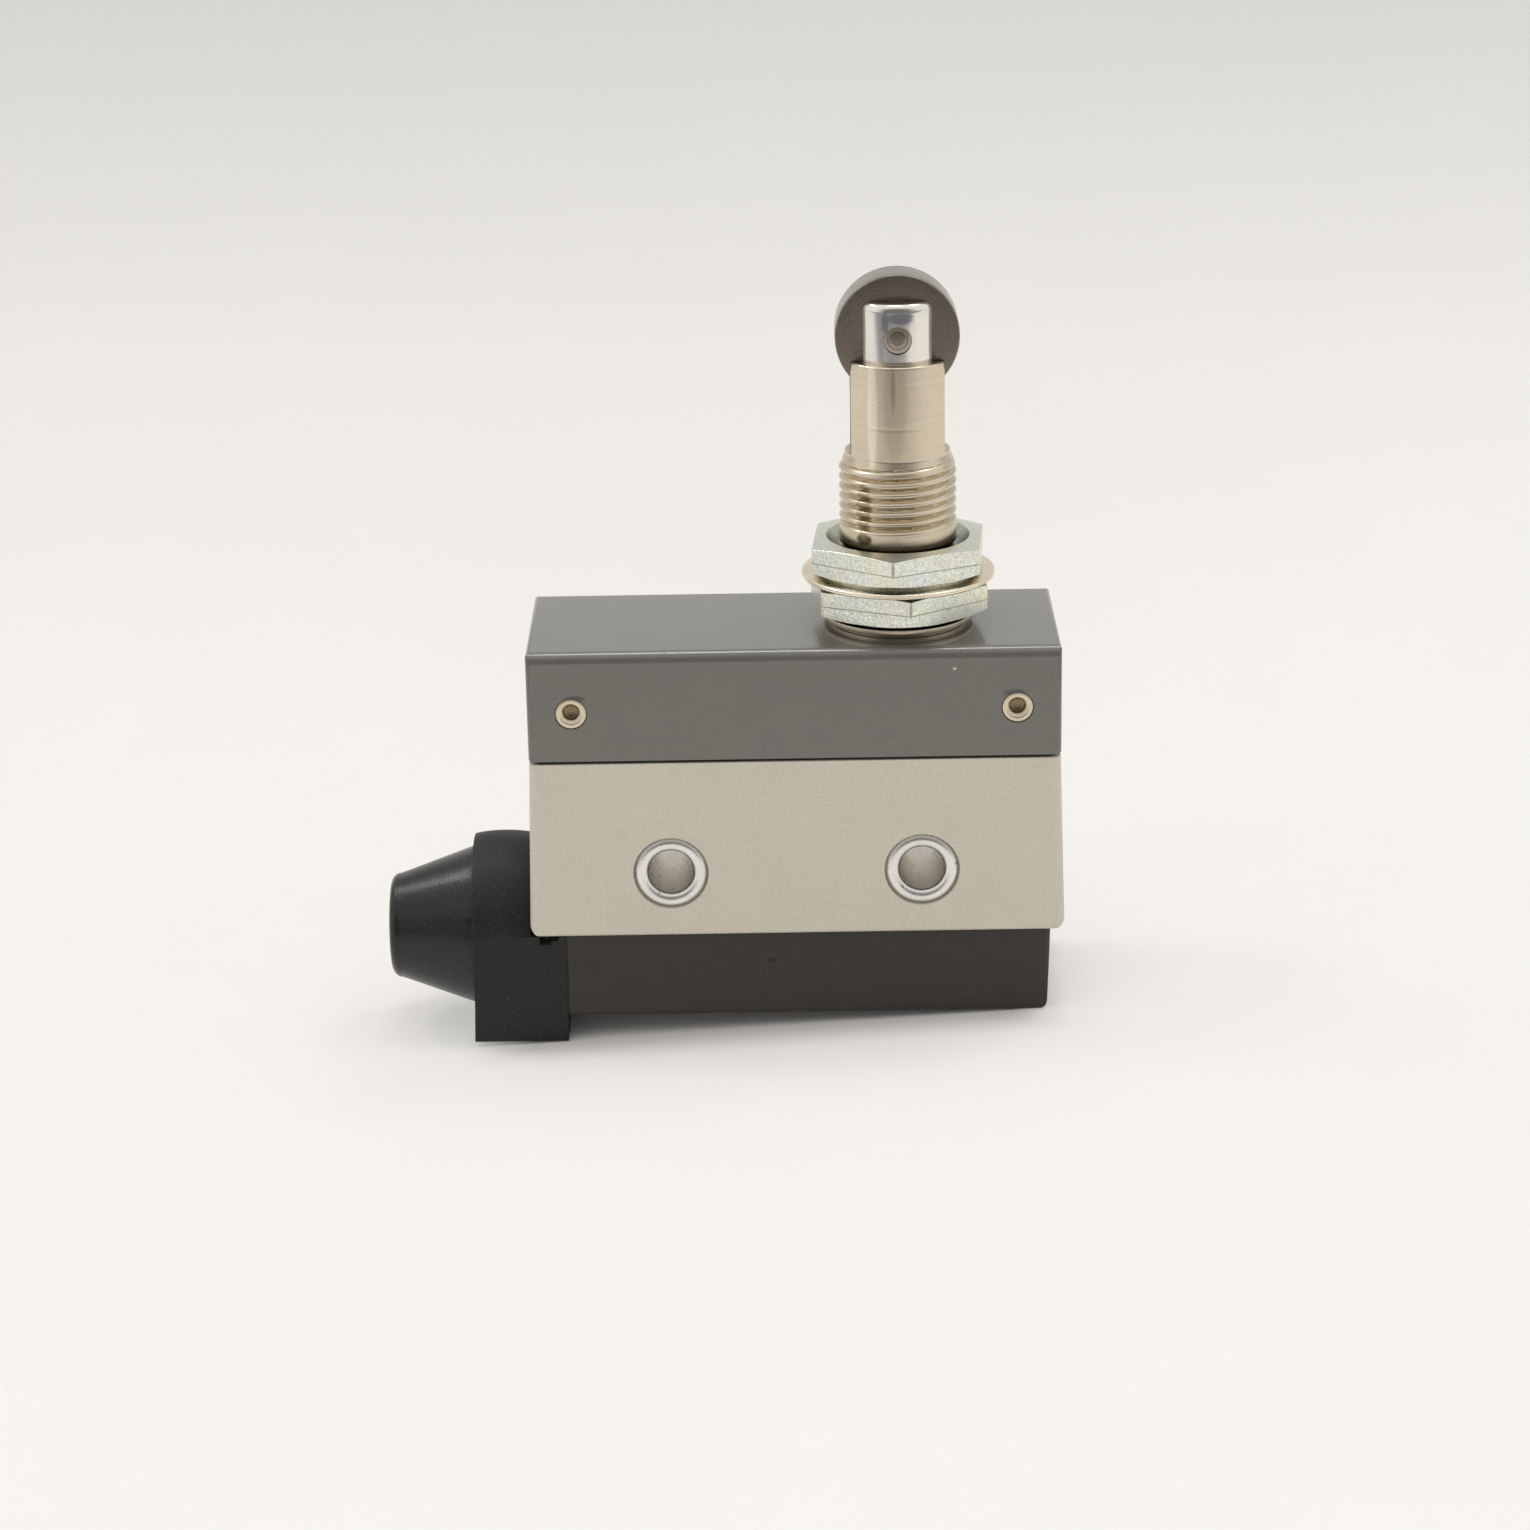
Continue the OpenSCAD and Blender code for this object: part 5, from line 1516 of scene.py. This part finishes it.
    def nut_column(self, angle: float, height: float) -> list[Point]:
        """One upright section of a nut.

        Args:
            angle: Angle from a corner, in radians.
            height: Thickness of the nut.

        Returns:
            Radius and height of each point, from the bore round the outside and back.
        """
        flat = self.nut_flats / 2
        corner = flat / math.cos(math.pi / 6)
        folded = (angle + math.pi / 6) % (math.pi / 3) - math.pi / 6
        side = flat / math.cos(math.pi / 6 - abs(folded))
        share = (side - flat) / (corner - flat)
        bevel = 0.05
        foot = self.nut_relief + max(bevel, self.nut_chamfer * share)
        crest = height - self.nut_crown * (side - self.nut_face_r) / (corner - self.nut_face_r)
        middle = (height + self.nut_relief - self.nut_crown) / 2
        return [
            (self.nut_bore_r, self.nut_sink),
            (self.nut_bore_r + self.nut_sink, 0.0),
            (self.nut_face_r, 0.0),
            (self.nut_face_r, self.nut_relief),
            (flat - bevel, self.nut_relief),
            (side, foot),
            (side, middle - 2 * self.nut_line),
            (side - self.nut_line, middle),
            (side, middle + 2 * self.nut_line),
            (side, crest - bevel),
            (side - bevel, crest),
            (self.nut_face_r, height),
            (self.nut_bore_r + self.nut_mouth, height),
            (self.nut_bore_r, height - self.nut_mouth_t),
        ]

    def build_nut(self, node: str, turn: float, material: bpy.types.Material) -> None:
        """Lofts one hexagon nut with chamfered ends, a countersunk bore and its parting line.

        Args:
            node: CAD node that it stands for.
            turn: Turn of its front corner to the right, in degrees.
            material: Its finish.
        """
        low, high = low_mm(node), high_mm(node)
        centre = Vector((middle_mm(node).x, 0.0, low.z))
        per_side = 20
        columns = 6 * per_side
        sections = []
        for k in range(columns):
            angle = 2 * math.pi * k / columns
            aim = angle + math.radians(turn - 90)
            sections.append([centre + Vector((r * math.cos(aim), r * math.sin(aim), h))
                             for r, h in self.nut_column(angle, high.z - low.z)])
        mesh = lofted_mesh(node + "_hex", sections, self.nut_sharp)
        install(node + "_hex", mesh, material, "root", [node])

    def build_washer(self) -> None:
        """Turns the washer, with the fine groove of a doubled edge."""
        low, high = low_mm("panel_washer"), high_mm("panel_washer")
        outer = (high.x - low.x) / 2
        middle = (high.z - low.z) / 2
        groove = 0.07
        outline = eased([
            (self.washer_hole_r, -middle), (outer - 0.12, -middle), (outer, -middle + 0.12), (outer, -groove),
            (outer - groove, 0.0), (outer, groove), (outer, middle - 0.12), (outer - 0.12, middle),
            (self.washer_hole_r, middle)], 0.04, 2)
        mesh = turned_mesh("edge_washer", outline, tuple(middle_mm("panel_washer")), Axis.UPRIGHT, 128)
        install("edge_washer", mesh, self.washer.material(), "root", ["panel_washer"])


@dataclass
class RollerPlunger:
    """Slotted plunger with its roller, pin, springs and retaining ring, the pusher and the switch's pin."""

    plunger_r: float = 4.1
    top_r: float = 0.45
    slot_w: float = 4.6
    roller_room: float = 0.5
    stem_r: float = 2.5
    stem_bore_r: float = 1.5
    stem_bore_len: float = 12.0
    seal_land_low: float = 38.5
    ring_t: float = 0.6
    ring_depth: float = 0.4
    stem_tip: float = 0.6
    groove_w: float = 1.0
    groove_depth: float = 0.9
    groove_z: float = 39.85
    pin_head_r: float = 1.4
    pin_recess: float = 0.55
    pin_r: float = 1.0
    pin_dimple_r: float = 0.95
    # Colour of the painted shade in the pin's dimples.
    dimple_shade_tone: Colour = (0.27, 0.24, 0.19)
    roller_bevel: float = 0.12
    return_wire: float = 0.8
    return_turns: float = 8.0
    over_wire: float = 0.4
    over_turns: float = 8.0
    coil_pack: float = 1.2
    travel: float = 4.5
    switch_travel: float = 1.2

    def build(self) -> None:
        """Builds the moving pieces that show, and the springs."""
        self.build_plunger()
        self.build_roller()
        self.build_pin()
        self.build_springs()
        nylon = Moulding(Slot.PUSHER, (0.62, 0.58, 0.50), roughness=0.5, grain_depth=0.01, drift=0.05)
        dress(["pusher", "switch_pin"], nylon.material())

    def build_plunger(self) -> None:
        """Turns the plunger and cuts its roller slot, pin hole and pin recesses."""
        axis_x = middle_mm("plunger").x
        bottom, top = low_mm("plunger").z, high_mm("plunger").z
        roller = middle_mm("roller")
        roller_r = (high_mm("roller").z - low_mm("roller").z) / 2
        ring_low = bottom + self.stem_tip
        ring_r = self.stem_r - self.ring_depth
        groove_r = self.plunger_r - self.groove_depth
        half = self.groove_w / 2
        outline = eased([
            (self.stem_bore_r, bottom), (self.stem_r, bottom), (self.stem_r, ring_low), (ring_r, ring_low),
            (ring_r, ring_low + self.ring_t), (self.stem_r, ring_low + self.ring_t),
            (self.stem_r, self.seal_land_low), (self.plunger_r, self.seal_land_low),
            (self.plunger_r, self.groove_z - half), (groove_r, self.groove_z - half),
            (groove_r, self.groove_z + half), (self.plunger_r, self.groove_z + half)], 0.05, 2)
        crown = corner_arc((self.plunger_r, top - 3), (self.plunger_r, top), (0.0, top), 2 * self.top_r, 10)
        bore_top = bottom + self.stem_bore_len
        outline += [*crown, (0.0, top), (0.0, bore_top), (self.stem_bore_r, bore_top)]
        blank = turned_mesh("plunger_blank", outline, (axis_x, 0.0, 0.0), Axis.UPRIGHT, 128)
        slot = block_mesh(
            "ear_slot",
            (axis_x - self.plunger_r - 1, -self.slot_w / 2, roller.z - roller_r - self.roller_room),
            (axis_x + self.plunger_r + 1, self.slot_w / 2, top + 1))
        cutters = [slot]
        face = self.plunger_r
        for low, high in ((-face - 1, -face + self.pin_recess), (face - self.pin_recess, face + 1)):
            cutters.append(turned_mesh(
                "pin_recess", [(0.0, low), (self.pin_head_r, low), (self.pin_head_r, high), (0.0, high)],
                (axis_x, 0.0, roller.z), Axis.DEPTH, 64))
        cutters.append(turned_mesh(
            "pin_hole", [(0.0, -face), (self.pin_r, -face), (self.pin_r, face), (0.0, face)],
            (axis_x, 0.0, roller.z), Axis.DEPTH, 48))
        # Painted dark reflections on the ears: a narrow strip left of the middle and a patch above the pin.
        ear_reflections = (
            Spot((axis_x - 1.25, -3.9, top - 1.8), (0.5, 0.9, 1.5), (0.50, 0.48, 0.46)),
            Spot((axis_x + 0.3, -4.05, top - 1.4), (1.9, 0.9, 0.85), (0.46, 0.45, 0.465)))
        finish = TurnedMetal(
            Slot.PLUNGER, (0.87, 0.84, 0.78), (0.60, 0.57, 0.52), roughness=0.13, ring_depth=0.0015,
            centre=(axis_x, 0.0, 0.0), axis=Axis.UPRIGHT, lines=6.0, stain=0.15, ring_tone=0.12,
            marks=ear_reflections)
        mesh = cut_mesh("slotted_plunger", blank, cutters, EAR_DEG)
        install("slotted_plunger", mesh, finish.material(), "plunger", ["plunger"])

    def build_roller(self) -> None:
        """Turns the roller with broken edges, and a rim that is paler than its faces."""
        middle = middle_mm("roller")
        size = high_mm("roller") - low_mm("roller")
        outer, half = size.z / 2, size.y / 2
        bore = self.pin_r + 0.05
        upper = [(bore, half), (outer - self.roller_bevel, half), (outer, half - self.roller_bevel)]
        outline = eased([*upper, *mirrored(upper)], 0.05)
        finish = TurnedMetal(
            Slot.ROLLER, (0.238, 0.200, 0.160), (0.168, 0.138, 0.108), roughness=0.30, ring_depth=0.003,
            centre=tuple(middle), axis=Axis.DEPTH, lines=5.0, stain=0.4,
            marks=(Spot(tuple(middle), (40.0, 2.7, 40.0), (0.46, 0.435, 0.395)),))
        mesh = turned_mesh("steel_roller", outline, tuple(middle), Axis.DEPTH, 144)
        install("steel_roller", mesh, finish.material(), "roller", ["roller"])

    def build_pin(self) -> None:
        """Turns the roller's pin with its dimpled, riveted ends."""
        middle = middle_mm("roller_pin")
        half = (high_mm("roller_pin").y - low_mm("roller_pin").y) / 2
        head_t = 0.45
        end = half - 0.28
        collar = self.pin_head_r - 0.03
        upper = [
            (0.0, end), (self.pin_dimple_r - 0.3, end - 0.03), (self.pin_dimple_r, end - 0.1),
            (self.pin_dimple_r + 0.06, end), (self.pin_head_r - 0.08, half), (collar, half - 0.08),
            (collar, half - head_t), (self.pin_r, half - head_t)]
        outline = eased([*upper, *mirrored(upper)], 0.04)
        # Painted shade darkens the dimple at each end of the pin.
        wide = 1.3 * self.pin_dimple_r
        ends = tuple(Spot((middle.x, side * half, middle.z), (wide, 1.0, wide), self.dimple_shade_tone)
                     for side in (-1, 1))
        finish = TurnedMetal(
            Slot.PIN, (0.48, 0.43, 0.35), (0.30, 0.26, 0.20), roughness=0.30, ring_depth=0.004,
            centre=tuple(middle), axis=Axis.DEPTH, lines=4.0, stain=0.4, marks=ends)
        mesh = turned_mesh("riveted_pin", outline, tuple(middle), Axis.DEPTH, 64)
        install("riveted_pin", mesh, finish.material(), "plunger", ["roller_pin"])

    def build_springs(self) -> None:
        """Winds the return and overtravel springs and sets each on its body."""
        tree = spring_tree()
        finish = PlatedMetal(Slot.SPRING, (0.62, 0.63, 0.64), (0.48, 0.47, 0.46), roughness=0.28)
        material = finish.material()
        dress(["retaining_ring"], material)
        for node, wire, turns, body, anchor_high, lost in (
                ("return_spring", self.return_wire, self.return_turns, "root", False, self.travel),
                ("overtravel_spring", self.over_wire, self.over_turns, "plunger", True,
                 self.travel - self.switch_travel)):
            low, high = low_mm(node), high_mm(node)
            middle = middle_mm(node)
            length = high.z - low.z
            radius = (high.x - low.x - wire) / 2
            mesh = tree.run(node + "_coil", bpy.data.meshes.new(node + "_seed"), {
                "Axis X": middle.x * MM, "Foot": low.z * MM, "Radius": radius * MM, "Wire": wire * MM,
                "Turns": turns, "Length": length * MM, "Closed Pitch": self.coil_pack * wire * MM,
                "Material": material})
            piece = install(node + "_coil", mesh, material, body, [node])
            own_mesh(piece)


@dataclass
class CableBoot:
    """Moulded rubber boot with its cable cone."""

    edge: float = 0.22
    notch_x: float = -26.3
    notch_w: float = 1.2
    notch_z: float = -7.95
    notch_t: float = 1.1
    rubber: Moulding = Moulding(
        Slot.BOOT, (0.0068, 0.0064, 0.0052), roughness=0.54, grain_depth=0.018, grain_scale=5.0,
        dust_share=0.5, dust_colour=(0.22, 0.20, 0.16), dust_strength=0.45, drift=0.25, gloss=0.46,
        ring_depth=0.024, polish=0.5, polish_x=-33.4)

    def build(self) -> None:
        """Builds the boot over its solid, with the torn notch under the case."""
        soft = softened_copy("cable_boot", "boot_blank", self.edge, steps=3)
        face = low_mm("cable_boot").y
        end = self.notch_x + self.notch_w
        cutters = [
            block_mesh("notch", (self.notch_x, face - 1, self.notch_z),
                       (end, face + self.notch_t, self.notch_z + 2)),
            block_mesh("notch_step", (end - 0.1, face - 1, self.notch_z + 0.4),
                       (end + 0.6 * self.notch_w, face + self.notch_t, self.notch_z + 2))]
        mesh = cut_mesh("rubber_boot", soft, cutters, SHELL_DEG)
        rubber = self.rubber.material()
        keep_flat(install("rubber_boot", mesh, rubber, "root", ["cable_boot"]))


@dataclass
class ContactBlock:
    """Contact block inside the case, whose solids keep their shape and get their finishes."""

    phenolic: Moulding = Moulding(
        Slot.PHENOLIC, (0.055, 0.026, 0.014), roughness=0.35, grain_depth=0.012, drift=0.25)
    copper: PlatedMetal = PlatedMetal(Slot.BLADE, (0.78, 0.50, 0.28), (0.62, 0.38, 0.20), roughness=0.25)
    silver: PlatedMetal = PlatedMetal(Slot.CONTACT, (0.88, 0.87, 0.85), (0.72, 0.71, 0.68), roughness=0.22)
    brass: PlatedMetal = PlatedMetal(Slot.TERMINAL, (0.78, 0.62, 0.32), (0.60, 0.46, 0.22), roughness=0.28)
    steel: PlatedMetal = PlatedMetal(Slot.SCREW, (0.74, 0.73, 0.70), (0.58, 0.56, 0.52), roughness=0.3)

    def build(self) -> None:
        """Finishes every inner piece of the contact block."""
        for finish, nodes in (
                (self.phenolic, ["switch_base", "switch_lid"]),
                (self.copper, ["contact_blade"]),
                (self.silver, ["moving_contact", "nc_contact", "no_contact"]),
                (self.brass, ["common_terminal", "nc_terminal", "no_terminal"]),
                (self.steel, ["terminal_screws", "terminal_washers"])):
            dress(nodes, finish.material())


@dataclass(frozen=True)
class PhotoCamera:
    """Pinhole camera fitted to the photograph's 1530 pixel frame."""

    image_px: float = 1530.0
    focal_px: float = 4144.05
    distance: float = 428.86
    origin_u: float = 795.81
    origin_v: float = 835.89
    yaw_deg: float = -0.2877
    pitch_deg: float = 19.2111
    roll_deg: float = 0.9972
    sensor: float = 36.0

    def place(self) -> None:
        """Makes the scene's camera."""
        yaw, pitch, roll = (math.radians(a) for a in (self.yaw_deg, self.pitch_deg, self.roll_deg))
        forward = Vector((math.sin(yaw) * math.cos(pitch), math.cos(yaw) * math.cos(pitch), -math.sin(pitch)))
        level = Vector((math.cos(yaw), -math.sin(yaw), 0.0))
        down = forward.cross(level)
        right = level * math.cos(roll) + down * math.sin(roll)
        low = down * math.cos(roll) - level * math.sin(roll)
        centre = self.image_px / 2
        away = Vector((
            (self.origin_u - centre) / self.focal_px, (self.origin_v - centre) / self.focal_px, 1.0))
        away *= self.distance * MM
        data = bpy.data.cameras.new("photo_camera")
        data.sensor_width = self.sensor
        data.lens = self.focal_px / self.image_px * self.sensor
        data.clip_start = 0.01
        data.clip_end = 20.0
        obj = linked("photo_camera", data)
        turn = Matrix((right, -low, -forward)).transposed()
        eye = -(right * away.x + low * away.y + forward * away.z)
        obj.matrix_world = Matrix.Translation(eye) @ turn.to_4x4()
        bpy.context.scene.camera = obj


@dataclass
class Studio:
    """Pale paper sweep on a dark table, three soft lamps overhead, a fill lamp, the room and the camera."""

    half_w: float = 2.0
    front: float = -0.235
    back: float = 0.07
    bend_r: float = 0.09
    top: float = 0.22
    paper: Colour = (0.90, 0.882, 0.850)
    # The paper's colour darkens to shade between shade_from and shade_to millimetres up the backdrop: painted
    # shade.
    shade_from: float = 18.0
    shade_to: float = 95.0
    shade: Colour = (0.690, 0.689, 0.678)
    # Outside the near spans below, camera and glossy rays see this share of the paper's white as a painted
    # glow that lifts its shadows.
    glow: float = 0.46
    white: float = 0.95
    near_left: Point = (-34.0, -27.0)
    near_right: Point = (22.0, 28.0)
    near_front: Point = (-15.0, -10.5)
    near_back: Point = (10.5, 17.0)
    paper_grain: float = 0.8
    table: Colour = (0.28, 0.28, 0.31)
    table_z: float = -0.003
    table_y: Point = (-2.0, 0.4)
    table_grain: float = 0.3
    world: Colour = (1.0, 0.985, 0.96)
    world_strength: float = 0.895
    room_dark: float = 0.2
    room_span: Point = (-0.85, -0.5)
    lamps: tuple[tuple[str, Place], ...] = (
        ("left_lamp", (-0.39, 0.18, 0.58)),
        ("top_lamp", (0.0, 0.12, 0.70)),
        ("right_lamp", (0.26, 0.19, 0.66)))
    lamp_size: Point = (0.16, 0.12)
    lamp_power: float = 0.5
    fill_place: Place = (0.0, -0.75, 0.15)
    fill_size: Point = (0.7, 0.24)
    fill_power: float = 0.95
    camera: PhotoCamera = PhotoCamera()

    def build(self) -> None:
        """Builds the sweep, the table, the lamps, the world and the camera."""
        self.camera.place()
        self.build_sweep()
        self.build_table()
        for name, place in self.lamps:
            self.lamp(name, place, self.lamp_size, self.lamp_power)
        fill = self.lamp("front_fill", self.fill_place, self.fill_size, self.fill_power)
        fill.visible_glossy = False
        self.build_room()
        bpy.context.scene.view_settings.view_transform = "Standard"

    def build_room(self) -> None:
        """Builds the world: a bright room that falls dark straight in front of the switch."""
        world = bpy.data.worlds.new("soft_room")
        world.use_nodes = True
        nodes = Nodes(world.node_tree)
        room = world.node_tree.nodes["Background"]
        depth = nodes.split(nodes.add("ShaderNodeTexCoord").outputs["Generated"])[1]
        share = nodes.ramp(depth, *self.room_span, self.room_dark, 1.0)
        nodes.feed(room.inputs["Color"], nodes.blend(share, BLACK, self.world))
        room.inputs["Strength"].default_value = self.world_strength
        bpy.context.scene.world = world

    def lean(self) -> tuple[Vector, float]:
        """Point and slope of the ground that the boot and the cover rest on.

        Returns:
            A point of the ground in metres, and the slope about the depth axis in radians.
        """
        cover_low, cover_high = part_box("terminal_cover")
        boot_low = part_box("cable_boot")[0]
        first = Vector((cover_low.x, 0.0, boot_low.z))
        last = Vector((cover_high.x - 0.8 * MM, 0.0, cover_low.z + 0.15 * MM))
        return first, math.atan2(last.z - first.z, last.x - first.x)

    def ground(self, name: str, rows: Sequence[Sequence[Place]], finish: Callable[[Shader], None]) -> None:
        """Lays a stage surface on the ground that the switch rests on.

        Args:
            name: Name of the surface.
            rows: Rows of points in metres, as many in each.
            finish: Sets the surface's colour on its shader.
        """
        contact, slope = self.lean()
        turn = Matrix.Rotation(-slope, 3, "Y")
        bm = bmesh.new()
        verts = [[bm.verts.new(contact + turn @ Vector(p)) for p in row] for row in rows]
        for first, second in zip(verts, verts[1:]):
            for i in range(len(first) - 1):
                bm.faces.new((first[i], second[i], second[i + 1], first[i + 1]))
        mesh = bpy.data.meshes.new(name)
        bm.to_mesh(mesh)
        bm.free()
        shade(mesh, SMOOTH_DEG)
        shader = Shader(name)
        shader.set(Roughness=0.9, Specular_IOR_Level=0.1)
        finish(shader)
        mesh.materials.append(shader.material)
        linked(name, mesh)
        LOG.info("%s: stage", name)

    def build_sweep(self) -> None:
        """Builds the paper sweep: a floor that curves up into a backdrop whose colour darkens upwards, as
        painted shade.
        """
        steps = 16
        rise = []
        for step in range(1, steps + 1):
            angle = math.pi / 2 * step / steps
            rise.append((self.back + self.bend_r * math.sin(angle), self.bend_r * (1 - math.cos(angle))))
        rise.append((self.back + self.bend_r, self.top))
        rows = [[(x, self.front, 0.0), (x, self.back, 0.0), *((x, y, z) for y, z in rise)]
                for x in (-self.half_w, self.half_w)]

        def finish(shader: Shader) -> None:
            """Sets paper whose colour darkens up the backdrop as painted shade, and that is clear from
            behind.

            Away from the switch a painted glow keeps part of its white in shade; near the switch it doesn't,
            so shadows there stay darker.

            Args:
                shader: The paper's shader.
            """
            grain = shader.effect(GROUPS.fine_grain(), Scale=self.paper_grain)
            x, y, height = shader.split(shader.place)
            away = shader.ramp(y, *self.near_front, 1.0, 0.0)
            for along, span, ends in ((y, self.near_back, (0.0, 1.0)), (x, self.near_right, (0.0, 1.0)),
                                      (x, self.near_left, (1.0, 0.0))):
                away = shader.math("MAXIMUM", away, shader.ramp(along, *span, *ends))
            share = shader.ramp(height, self.shade_from, self.shade_to)
            plain = shader.blend(grain["Tone"], scaled(self.paper, 0.99), self.paper)
            colour = shader.blend(share, plain, self.shade)
            path = shader.add("ShaderNodeLightPath").outputs
            seen = shader.math("MAXIMUM", path["Is Camera Ray"], path["Is Glossy Ray"])
            seen = shader.math("MAXIMUM", seen, path["Is Transmission Ray"])
            kept = shader.math("MULTIPLY", seen, shader.math("MULTIPLY", away, self.glow))
            behind = shader.add("ShaderNodeNewGeometry").outputs["Backfacing"]
            shader.set(
                Base_Color=shader.blend(kept, colour, BLACK),
                Alpha=shader.math("SUBTRACT", 1.0, behind),
                Emission_Color=shader.blend(kept, BLACK, colour),
                Emission_Strength=self.white / self.paper[0],
            )

        self.ground("paper_sweep", rows, finish)

    def build_table(self) -> None:
        """Builds the dark table that shows round the paper in reflections and from behind."""
        rows = [[(x, y, self.table_z) for y in self.table_y] for x in (-self.half_w, self.half_w)]

        def finish(shader: Shader) -> None:
            """Sets the table's colour with a slow drift.

            Args:
                shader: The table's shader.
            """
            grain = shader.effect(GROUPS.fine_grain(), Scale=self.table_grain)
            shader.set(Base_Color=shader.blend(grain["Tone"], scaled(self.table, 0.8), self.table))

        self.ground("dark_table", rows, finish)

    def lamp(self, name: str, place: Place, size: Point, power: float) -> bpy.types.Object:
        """Hangs a soft lamp that faces the switch.

        Args:
            name: Name of the lamp.
            place: Where it hangs, in metres.
            size: Width and depth of its face.
            power: Watts.

        Returns:
            The lamp's object.
        """
        data = bpy.data.lights.new(name, "AREA")
        data.shape = "RECTANGLE"
        data.size, data.size_y = size
        data.energy = power
        obj = linked(name, data)
        obj.location = place
        obj.rotation_mode = "QUATERNION"
        obj.rotation_quaternion = (-Vector(place)).to_track_quat("-Z", "Y")
        return obj


def main() -> None:
    """Builds every sub-assembly in order, then the studio."""
    logging.basicConfig(level=logging.INFO, format="%(name)s %(message)s")
    for assembly in (
            Case(), CrossFasteners(), PanelBarrel(), RollerPlunger(), CableBoot(), ContactBlock(), Studio()):
        LOG.info("building %s", type(assembly).__name__)
        assembly.build()


if __name__ == "__main__":
    main()
